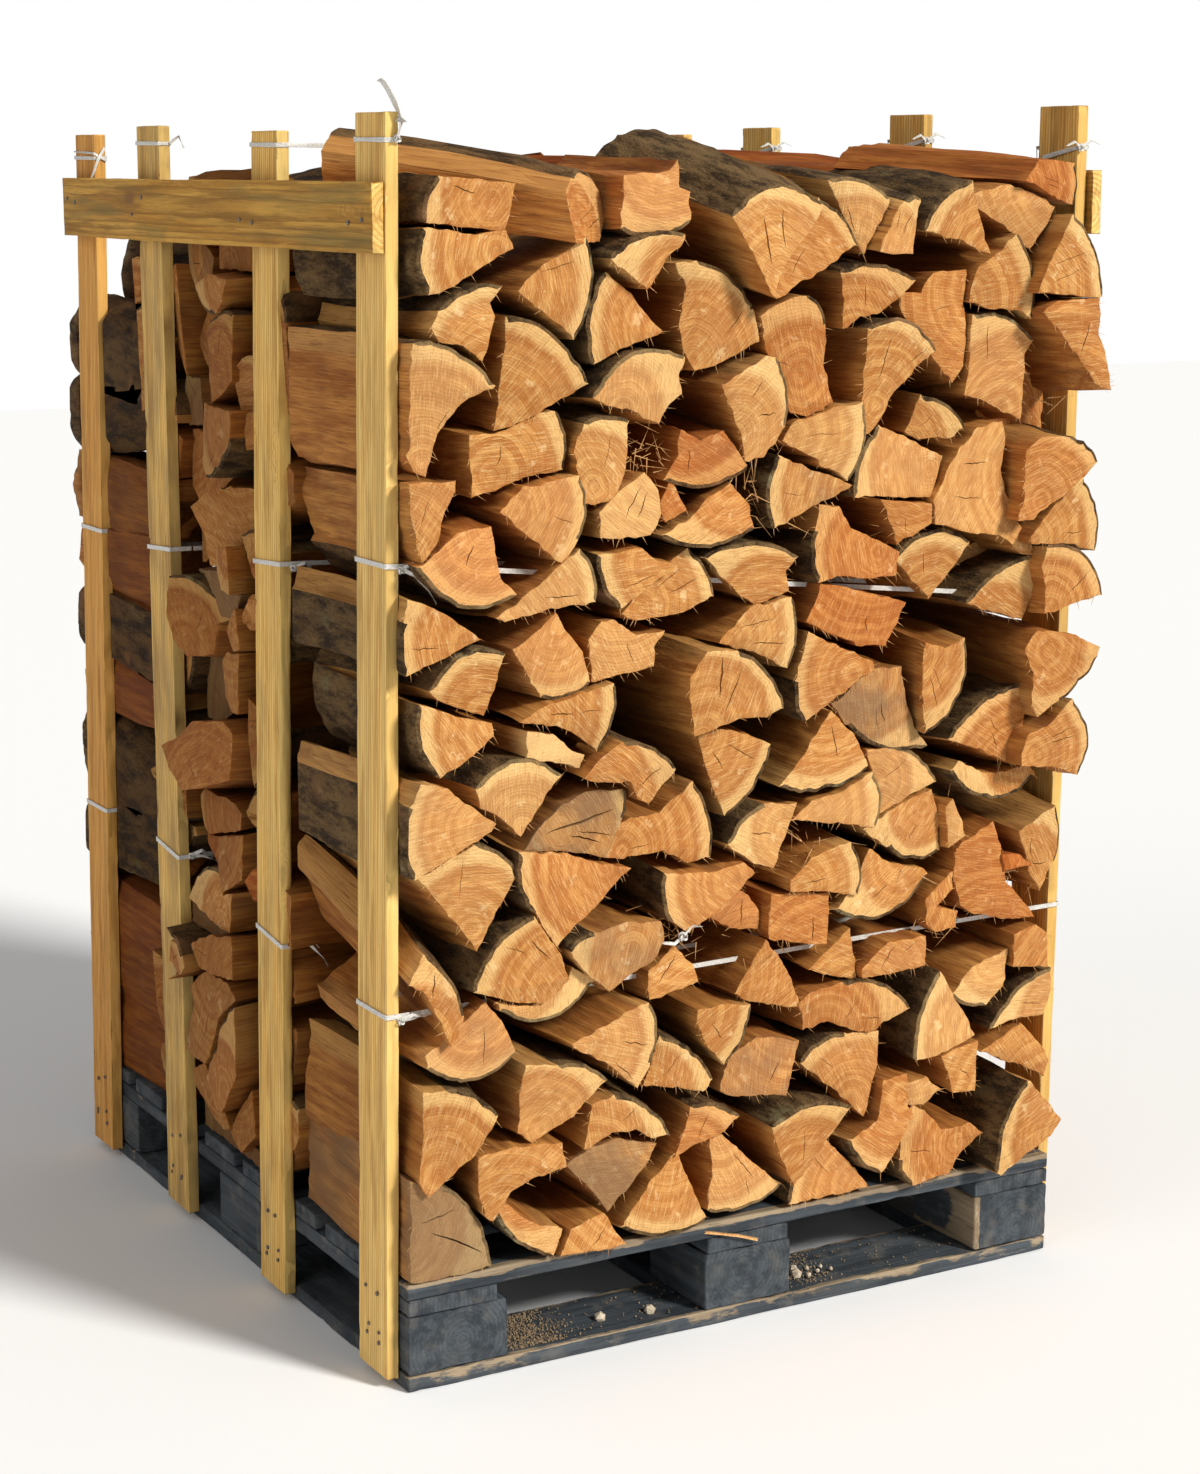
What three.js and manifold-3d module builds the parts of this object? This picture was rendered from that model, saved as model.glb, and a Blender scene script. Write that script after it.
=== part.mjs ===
// Split firewood stacked on a block pallet, held by upright boards, two rails and plastic twine.
// Millimetres, +Z up. X runs along the front of the pallet, Y from the front to the back.
// The origin is on the floor under the centre of the bundle.
import * as THREE from "three";
import { mergeVertices } from "three/addons/utils/BufferGeometryUtils.js";
import Module from "manifold-3d";

const wasm = await Module();
wasm.setup();

// ---- Driving dimensions ----
const GAP = 0.3;              // air between touching pieces
const PALLET_X = 1000;        // along the front
const PALLET_Y = 1100;        // front to back
const BOARD_T = 22;           // bottom boards, stringers and deck boards
const BLOCK_H = 78;
const BLOCK_Y = 145;
const COLUMNS = [             // low and high X of the three rows of blocks
  [-500, -360],
  [-66, 68],
  [374, 500],
];
const ROWS = [-550, -72.5, 405];   // front Y of the three rows of blocks
const STRINGER_W = 126;
const SKID_W = 125;
const DECK_BOARDS = 8;
const DECK_BOARD_W = 110;

const POST_W = 84;            // along Y
const POST_T = 17;            // along X
const POST_FOOT = 12;         // height of the feet above the floor
// One row per upright: front Y, height, lean of the head along X and along Y
const LEFT_POSTS = [
  { name: "post_left_1", y: -526, top: 1572, leanX: 17, leanY: -8 },
  { name: "post_left_2", y: -203, top: 1554, leanX: 20, leanY: -6 },
  { name: "post_left_3", y: 151, top: 1564, leanX: 2, leanY: 4 },
  { name: "post_left_4", y: 466, top: 1555, leanX: 22, leanY: -2 },
];
const RIGHT_POSTS = [
  { name: "post_right_1", y: -526, top: 1589, leanX: 18, leanY: 3 },
  { name: "post_right_2", y: -203, top: 1582, leanX: -2, leanY: 2 },
  { name: "post_right_3", y: 189, top: 1568, leanX: -7, leanY: 0 },
  { name: "post_right_4", y: 462, top: 1560, leanX: 0, leanY: 0 },
];

const RAIL_T = 17;
const RAIL_Y = [-534, 552];
const LEFT_RAIL_Z = [1409, 1493];
const RIGHT_RAIL_Z = [1420, 1506];

const TWINE_H = 6;            // flat twine, stood on edge round the uprights
const TWINE_T = 1.6;
const TWINE_SLOT = 13;        // room left for the twine between two tiers of logs

const STACK_BASE = 144;
const STACK_TOP = 1494;
const LOG_REACH_X = 553.9;     // furthest log tips and rail face
const LOG_REACH_Y = 603;
const FRONT_RANK_BACK = -240;
const BACK_RANK_FRONT = 278;

// ---- Materials ----
const paint = new THREE.MeshStandardMaterial({ color: 0x3f464e, roughness: 0.8, metalness: 0 });
const batten = new THREE.MeshStandardMaterial({ color: 0xc09a58, roughness: 0.75, metalness: 0 });
const rail = new THREE.MeshStandardMaterial({ color: 0x9c7536, roughness: 0.8, metalness: 0 });
const splitWood = new THREE.MeshStandardMaterial({ color: 0xc8905a, roughness: 0.85, metalness: 0 });
const barkWood = new THREE.MeshStandardMaterial({ color: 0x7a6048, roughness: 0.95, metalness: 0 });
const twine = new THREE.MeshStandardMaterial({ color: 0xe6e6e2, roughness: 0.45, metalness: 0 });

const bundle = new THREE.Group();
bundle.name = "firewood_bundle";

function add(name, geometry, material) {
  const mesh = new THREE.Mesh(geometry, material);
  mesh.name = name;
  bundle.add(mesh);
  return mesh;
}

// A box between two X, two Y and two Z values.
function slab(name, [x0, x1], [y0, y1], [z0, z1], material) {
  const mesh = add(name, new THREE.BoxGeometry(x1 - x0, y1 - y0, z1 - z0), material);
  mesh.position.set((x0 + x1) / 2, (y0 + y1) / 2, (z0 + z1) / 2);
  return mesh;
}

// A prism over a plan outline whose underside and top are heights given at each point.
function prism(plan, under, over) {
  const outline = new THREE.Shape(plan.map(([x, y]) => new THREE.Vector2(x, y)));
  const geometry = new THREE.ExtrudeGeometry(outline, { depth: 1, bevelEnabled: false });
  const p = geometry.attributes.position;
  for (let i = 0; i < p.count; i++) {
    const height = p.getZ(i) < 0.5 ? under : over;
    p.setZ(i, height(p.getX(i), p.getY(i)));
  }
  return geometry;
}

function toSolid(geometry) {
  const bare = geometry.clone();
  bare.deleteAttribute("normal");
  bare.deleteAttribute("uv");
  const merged = mergeVertices(bare, 1e-4);
  return new wasm.Manifold(new wasm.Mesh({
    numProp: 3,
    vertProperties: new Float32Array(merged.attributes.position.array),
    triVerts: new Uint32Array(merged.index.array),
  }));
}

function toGeometry(solid) {
  const { vertProperties, triVerts } = solid.getMesh();
  const geometry = new THREE.BufferGeometry();
  geometry.setAttribute("position", new THREE.BufferAttribute(vertProperties, 3));
  geometry.setIndex(new THREE.BufferAttribute(triVerts, 1));
  geometry.computeVertexNormals();
  return geometry;
}

// ---- Pallet ----
const blockBase = BOARD_T;
const stringerBase = blockBase + BLOCK_H;
const deckBase = stringerBase + BOARD_T;
const halfX = PALLET_X / 2;
const halfY = PALLET_Y / 2;

// Bottom boards: two across the ends, three lengthwise between them
const skidZ = [0, BOARD_T - GAP];
slab("skid_front", [-halfX, halfX], [-halfY, -halfY + SKID_W], skidZ, paint);
slab("skid_back", [-halfX, halfX], [halfY - SKID_W, halfY], skidZ, paint);
const skidY = [-halfY + SKID_W + GAP, halfY - SKID_W - GAP];
slab("skid_left", [-halfX, -halfX + SKID_W], skidY, skidZ, paint);
slab("skid_middle", [-SKID_W / 2, SKID_W / 2], skidY, skidZ, paint);
slab("skid_right", [halfX - SKID_W, halfX], skidY, skidZ, paint);

const sides = ["left", "middle", "right"];
const ends = ["front", "centre", "back"];
COLUMNS.forEach(([x0, x1], c) => {
  ROWS.forEach((y0, r) => {
    const name = `block_${ends[r]}_${sides[c]}`;
    slab(name, [x0, x1], [y0, y0 + BLOCK_Y], [blockBase, stringerBase - GAP], paint);
  });
  const middle = [-halfX + STRINGER_W / 2, 1, halfX - STRINGER_W / 2][c];
  const stringerX = [middle - STRINGER_W / 2, middle + STRINGER_W / 2];
  slab(`stringer_${sides[c]}`, stringerX, [-halfY, halfY], [stringerBase, deckBase - GAP], paint);
});

const deckPitch = (PALLET_Y - DECK_BOARD_W) / (DECK_BOARDS - 1);
for (let i = 0; i < DECK_BOARDS; i++) {
  const y0 = -halfY + i * deckPitch;
  const deckZ = [deckBase, STACK_BASE - GAP];
  slab(`deck_board_${i + 1}`, [-halfX, halfX], [y0, y0 + DECK_BOARD_W], deckZ, paint);
}

// ---- Uprights ----
// Face of an upright against the pallet, and its front edge, at height z. A leaning upright
// touches the pallet at the deck if it leans in, and at its foot if it leans out.
function postAt(post, side, z) {
  const inward = post.leanX * side < 0;
  const anchor = inward ? STACK_BASE : POST_FOOT;
  const inner = side * (halfX + GAP + 0.1) + (post.leanX * (z - anchor)) / (post.top - anchor);
  const front = post.y + (post.leanY * (z - POST_FOOT)) / (post.top - POST_FOOT);
  return { inner, outer: inner + side * POST_T, front, back: front + POST_W };
}

function addPost(post, side) {
  const geometry = new THREE.BoxGeometry(1, 1, 1);
  const p = geometry.attributes.position;
  for (let i = 0; i < p.count; i++) {
    const z = p.getZ(i) > 0 ? post.top : POST_FOOT;
    const at = postAt(post, side, z);
    const xs = [at.inner, at.outer].sort((a, b) => a - b);
    p.setXYZ(i, p.getX(i) > 0 ? xs[1] : xs[0], p.getY(i) > 0 ? at.back : at.front, z);
  }
  geometry.computeVertexNormals();
  add(post.name, geometry, batten);
}
LEFT_POSTS.forEach((post) => addPost(post, -1));
RIGHT_POSTS.forEach((post) => addPost(post, 1));

// ---- Rails: green boards that bend a little from upright to upright ----
function addRail(name, inner, side, [z0, z1]) {
  const line = new THREE.SplineCurve(inner.map(([x, y]) => new THREE.Vector2(x, y)));
  const near = line.getPoints(16);
  const far = near.map((q) => new THREE.Vector2(q.x + side * RAIL_T, q.y)).reverse();
  const outline = new THREE.Shape([...near, ...far]);
  const geometry = new THREE.ExtrudeGeometry(outline, { depth: z1 - z0, bevelEnabled: false });
  geometry.translate(0, 0, z0);
  add(name, geometry, rail);
}
const [railStart, railEnd] = RAIL_Y;
addRail("rail_left", [
  [-503.2, railStart], [-503.2, -440], [-506, -160], [-516.6, 145], [-516.6, 240], [-499.4, railEnd],
], -1, LEFT_RAIL_Z);
addRail("rail_right", [
  [536, railStart], [535.9, -440], [524, -160], [518.4, 160], [518.2, 300], [518.2, railEnd],
], 1, RIGHT_RAIL_Z);

// ---- Twine planes: the sloping levels at which the twine crosses the stack ----
const level = (z, slopeX, slopeY = 0, y0 = 0) => (x, y) => z + slopeX * x + slopeY * (y - y0);
const FRONT_LOW = level(486, 0.012);
const FRONT_MID = level(983, -0.11);
const CORE_LOW = level(526, 0.01, 0.13, 16);
const CORE_MID = level(970, -0.036, -0.06, 16);
const BACK_LOW = level(541, -0.008);
const BACK_MID = level(961, -0.02);

// ---- Ranks of logs: each is a solid out to the tips of its logs ----
const flat = (z) => () => z;
const raised = (plane, dz) => (x, y) => plane(x, y) + dz;

function addTier(name, plan, under, over, slots, material) {
  let solid = toSolid(prism(plan, under, over));
  slots.forEach(([y0, y1]) => {
    const strip = [[-700, y0], [700, y0], [700, y1], [-700, y1]];
    const bottom = raised(under, -20);
    solid = solid.subtract(toSolid(prism(strip, bottom, raised(under, TWINE_SLOT))));
  });
  add(name, toGeometry(solid), material);
}

// Plan of the front rank: the ends of the logs can pass in front of the right-hand uprights
function frontPlan(left, right, reach) {
  const back = FRONT_RANK_BACK - GAP;
  return [
    [left, -LOG_REACH_Y], [reach, -LOG_REACH_Y], [reach, -535], [right, -535], [right, back], [left, back],
  ];
}
// Plan of the middle rank: its logs lie crosswise and their ends come out between the uprights
function corePlan(left, right, reachLeft, reachRight) {
  const y0 = FRONT_RANK_BACK;
  const y1 = BACK_RANK_FRONT;
  return [
    [left, y0], [right, y0], [right, -112], [reachRight, -112], [reachRight, 180], [right, 180],
    [right, y1], [left, y1], [left, 144], [-reachLeft, 144], [-reachLeft, -106], [left, -106],
  ];
}
// Plan of the back rank: its logs reach past the last uprights
function backPlan(left, right, reachLeft, reachRight) {
  const y0 = BACK_RANK_FRONT + GAP;
  return [
    [left, y0], [right, y0], [right, 556], [reachRight, 556], [reachRight, LOG_REACH_Y],
    [-reachLeft, LOG_REACH_Y], [-reachLeft, 556], [left, 556],
  ];
}

const frontSlots = [[-536, -432]];
const coreSlots = [[-210, -110], [144, 282]];
const backSlots = [[454, 562]];
const base = flat(STACK_BASE);
const top = flat(STACK_TOP);
const below = (plane) => raised(plane, -GAP / 2);
const above = (plane) => raised(plane, GAP / 2);

addTier("logs_front_low", frontPlan(-493, 495, 510), base, below(FRONT_LOW), [], splitWood);
addTier("logs_front_mid", frontPlan(-487, 495, 545), above(FRONT_LOW), below(FRONT_MID), frontSlots, splitWood);
addTier("logs_front_top", frontPlan(-479, 495, 545), above(FRONT_MID), top, frontSlots, splitWood);
addTier("logs_core_low", corePlan(-490, 493, 540, 530), base, below(CORE_LOW), [], splitWood);
addTier("logs_core_mid", corePlan(-484, 490, LOG_REACH_X, 540), above(CORE_LOW), below(CORE_MID), coreSlots, splitWood);
addTier("logs_core_top", corePlan(-476, 487, 502, 514), above(CORE_MID), top, coreSlots, splitWood);
addTier("logs_back_low", backPlan(-490, 492, 500, 505), base, below(BACK_LOW), [], barkWood);
addTier("logs_back_mid", backPlan(-484, 490, 500, 505), above(BACK_LOW), below(BACK_MID), backSlots, barkWood);
addTier("logs_back_top", backPlan(-474, 488, 490, 500), above(BACK_MID), flat(STACK_TOP - 14), backSlots, barkWood);

// ---- Loose logs laid on top of the stack ----
// The section is drawn across the log, its first point at the left; the log runs back from `foot`.
function addTopLog(name, section, length, foot, turn, material) {
  const outline = new THREE.Shape(section.map(([x, z]) => new THREE.Vector2(x, z)));
  const geometry = new THREE.ExtrudeGeometry(outline, { depth: length, bevelEnabled: false });
  geometry.rotateX(Math.PI / 2);
  geometry.translate(0, length, 0);
  const mesh = add(name, geometry, material);
  mesh.position.set(...foot);
  mesh.rotation.z = THREE.MathUtils.degToRad(turn);
}
const topRest = STACK_TOP + TWINE_SLOT + 2;
addTopLog("log_top_left", [[0, 0], [95, 0], [86, 26], [40, 33], [6, 22]], 330,
  [-262, -566, STACK_TOP + GAP], 32, splitWood);
addTopLog("log_top_bark", [[0, 0], [150, 0], [128, 38], [72, 56], [18, 40]], 335,
  [-92, -578, topRest], 9, barkWood);
addTopLog("log_top_split", [[0, 0], [120, 0], [96, 24], [30, 30]], 330,
  [98, -570, topRest], 6, splitWood);
addTopLog("log_top_flat", [[0, 0], [105, 0], [98, 18], [12, 20]], 330,
  [424, -226, topRest], 87, splitWood);

// ---- Twine: one loop round each pair of uprights at three heights ----
// A route with a straight run between its points; each step of the sweep ends on a point.
class Route extends THREE.Curve {
  constructor(points) {
    super();
    this.points = points;
  }
  getPoint(t, target = new THREE.Vector3()) {
    const s = Math.min(Math.max(t, 0), 1) * (this.points.length - 1);
    const i = Math.min(Math.floor(s + 1e-9), this.points.length - 2);
    return target.lerpVectors(this.points[i], this.points[i + 1], s - i);
  }
  getPointAt(u, target) {
    return this.getPoint(u, target);
  }
  getTangent(t, target = new THREE.Vector3()) {
    const last = this.points.length - 1;
    const i = Math.round(Math.min(Math.max(t, 0), 1) * last);
    const before = new THREE.Vector3();
    const after = new THREE.Vector3();
    if (i > 0) before.subVectors(this.points[i], this.points[i - 1]).normalize();
    if (i < last) after.subVectors(this.points[i + 1], this.points[i]).normalize();
    return target.addVectors(before, after).normalize();
  }
  getTangentAt(u, target) {
    return this.getTangent(u, target);
  }
  // Keeps the flat twine on edge all the way round
  computeFrenetFrames(segments) {
    const up = new THREE.Vector3(0, 0, 1);
    const tangents = [];
    const normals = [];
    const binormals = [];
    for (let i = 0; i <= segments; i++) {
      const tangent = this.getTangentAt(i / segments);
      const side = new THREE.Vector3().crossVectors(tangent, up).normalize();
      tangents.push(tangent);
      normals.push(new THREE.Vector3().crossVectors(side, tangent));
      binormals.push(side);
    }
    return { tangents, normals, binormals };
  }
}

const twineOff = TWINE_T / 2 + 0.4;
const cut = 1.2;

// Outside corner of an upright, as two points of the route
function corner(x, y, z, dx, dy, turnFirst) {
  const alongX = new THREE.Vector3(x - dx * cut, y, z);
  const alongY = new THREE.Vector3(x, y - dy * cut, z);
  return turnFirst ? [alongX, alongY] : [alongY, alongX];
}

// `height` gives the level of the twine at any x and y; `stops` are the x of its bends.
function addTie(name, leftPost, rightPost, height, stops) {
  const l = postAt(leftPost, -1, height(-halfX, leftPost.y));
  const r = postAt(rightPost, 1, height(halfX, rightPost.y));
  const mix = (x, a, b) => a + ((b - a) * (x - l.inner)) / (r.inner - l.inner);
  const at = (x, y) => new THREE.Vector3(x, y, height(x, y));
  const zLeft = [height(l.inner, l.front), height(l.inner, l.back)];
  const zRight = [height(r.inner, r.front), height(r.inner, r.back)];
  const knotX = l.inner + 14;
  const knotY = l.front - twineOff;
  const points = [
    at(knotX, knotY),
    ...corner(l.outer - twineOff, l.front - twineOff, zLeft[0], -1, -1, true),
    ...corner(l.outer - twineOff, l.back + twineOff, zLeft[1], -1, 1, false),
    ...stops.map((x) => at(x, mix(x, l.back, r.back) + twineOff)),
    ...corner(r.outer + twineOff, r.back + twineOff, zRight[1], 1, 1, true),
    ...corner(r.outer + twineOff, r.front - twineOff, zRight[0], 1, -1, false),
    ...stops.map((x) => at(x, mix(x, l.front, r.front) - twineOff)).reverse(),
    at(knotX + 4, knotY),
  ];
  const half = TWINE_H / 2;
  const section = new THREE.Shape([
    new THREE.Vector2(-half, -TWINE_T / 2), new THREE.Vector2(half, -TWINE_T / 2),
    new THREE.Vector2(half, TWINE_T / 2), new THREE.Vector2(-half, TWINE_T / 2),
  ]);
  const route = new Route(points);
  const geometry = new THREE.ExtrudeGeometry(section, {
    steps: points.length - 1, extrudePath: route, bevelEnabled: false,
  });
  add(name, geometry, twine);
}

const lift = TWINE_H / 2 + 3.5;
function crossTie(name, i, plane) {
  addTie(name, LEFT_POSTS[i], RIGHT_POSTS[i], raised(plane, lift), [-480, -200, 200, 480]);
}
crossTie("tie_low_1", 0, FRONT_LOW);
crossTie("tie_mid_1", 0, FRONT_MID);
crossTie("tie_low_2", 1, CORE_LOW);
crossTie("tie_mid_2", 1, CORE_MID);
crossTie("tie_low_3", 2, CORE_LOW);
crossTie("tie_mid_3", 2, CORE_MID);
crossTie("tie_low_4", 3, BACK_LOW);
crossTie("tie_mid_4", 3, BACK_MID);

// The top loops dip from the heads of the uprights to lie on the stack, under the loose logs.
// Each is given as [x, z] bends from left to right.
function topTie(name, i, bends) {
  const height = (x) => {
    const after = bends.findIndex(([bx]) => bx >= x);
    if (after === 0) return bends[0][1];
    if (after < 0) return bends[bends.length - 1][1];
    const [x0, z0] = bends[after - 1];
    const [x1, z1] = bends[after];
    return z0 + ((z1 - z0) * (x - x0)) / (x1 - x0);
  };
  addTie(name, LEFT_POSTS[i], RIGHT_POSTS[i], height, bends.slice(1, -1).map(([x]) => x));
}
const rest = STACK_TOP + 1 + TWINE_H / 2;
topTie("tie_top_1", 0, [
  [-482, 1540], [-440, 1539], [-180, 1537], [-125, rest], [300, rest], [430, rest], [470, 1534], [500, 1534],
]);
topTie("tie_top_2", 1, [
  [-480, 1536], [-240, 1533], [-150, rest], [430, rest], [470, 1545], [496, 1545],
]);
topTie("tie_top_3", 2, [[-498, 1540], [-470, 1540], [-420, rest], [420, rest], [465, 1536], [492, 1536]]);
topTie("tie_top_4", 3, [[-478, 1521], [-460, 1521], [-420, rest], [420, rest], [470, 1530], [500, 1530]]);

export default bundle;
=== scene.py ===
import math
import random
from collections import namedtuple

import bpy
import numpy as np
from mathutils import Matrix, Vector
from mathutils.geometry import tessellate_polygon


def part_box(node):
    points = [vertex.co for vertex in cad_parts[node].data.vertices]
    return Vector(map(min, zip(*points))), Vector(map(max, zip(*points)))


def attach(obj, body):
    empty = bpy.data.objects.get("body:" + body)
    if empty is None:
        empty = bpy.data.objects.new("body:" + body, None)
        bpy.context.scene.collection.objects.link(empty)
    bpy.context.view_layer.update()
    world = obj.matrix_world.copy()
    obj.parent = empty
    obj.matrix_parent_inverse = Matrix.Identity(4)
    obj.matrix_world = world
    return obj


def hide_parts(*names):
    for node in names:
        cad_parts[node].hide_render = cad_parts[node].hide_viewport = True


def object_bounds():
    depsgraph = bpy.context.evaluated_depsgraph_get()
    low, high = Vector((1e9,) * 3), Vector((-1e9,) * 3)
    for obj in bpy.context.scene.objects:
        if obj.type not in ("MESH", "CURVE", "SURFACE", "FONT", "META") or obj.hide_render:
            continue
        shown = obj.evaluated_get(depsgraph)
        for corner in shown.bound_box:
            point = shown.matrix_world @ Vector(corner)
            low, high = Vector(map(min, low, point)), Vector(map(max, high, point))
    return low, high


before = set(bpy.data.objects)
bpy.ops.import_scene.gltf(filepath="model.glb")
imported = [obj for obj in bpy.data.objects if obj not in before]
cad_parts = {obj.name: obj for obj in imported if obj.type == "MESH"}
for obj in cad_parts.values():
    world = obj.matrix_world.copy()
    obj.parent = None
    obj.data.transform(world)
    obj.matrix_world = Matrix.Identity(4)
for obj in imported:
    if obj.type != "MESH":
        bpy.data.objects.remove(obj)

cad_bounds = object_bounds()

SEED = 41                # every part of the scene draws its random numbers from this one
CM = 0.01
MM = 0.001
LOG_LENGTH = .335        # the firewood is sawn to one length
FRONT_TIPS = .040        # how far the farthest log tips stand out past the rank's face, in front
BACK_TIPS = .038         # and behind

# ---------------------------------------------------------------- the stack, log by log
# One line is one log end: its corners in centimetres, right of the middle of the rank and up from
# the floor. "~" after a corner means bark runs to the next corner, "~~" a rounder bark side.
# After the bar come facts of that log alone: yaw and rise in degrees, dull, red and pale for its
# tone, crack for more or wider drying cracks, and out for how far it sticks out in millimetres.

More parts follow.
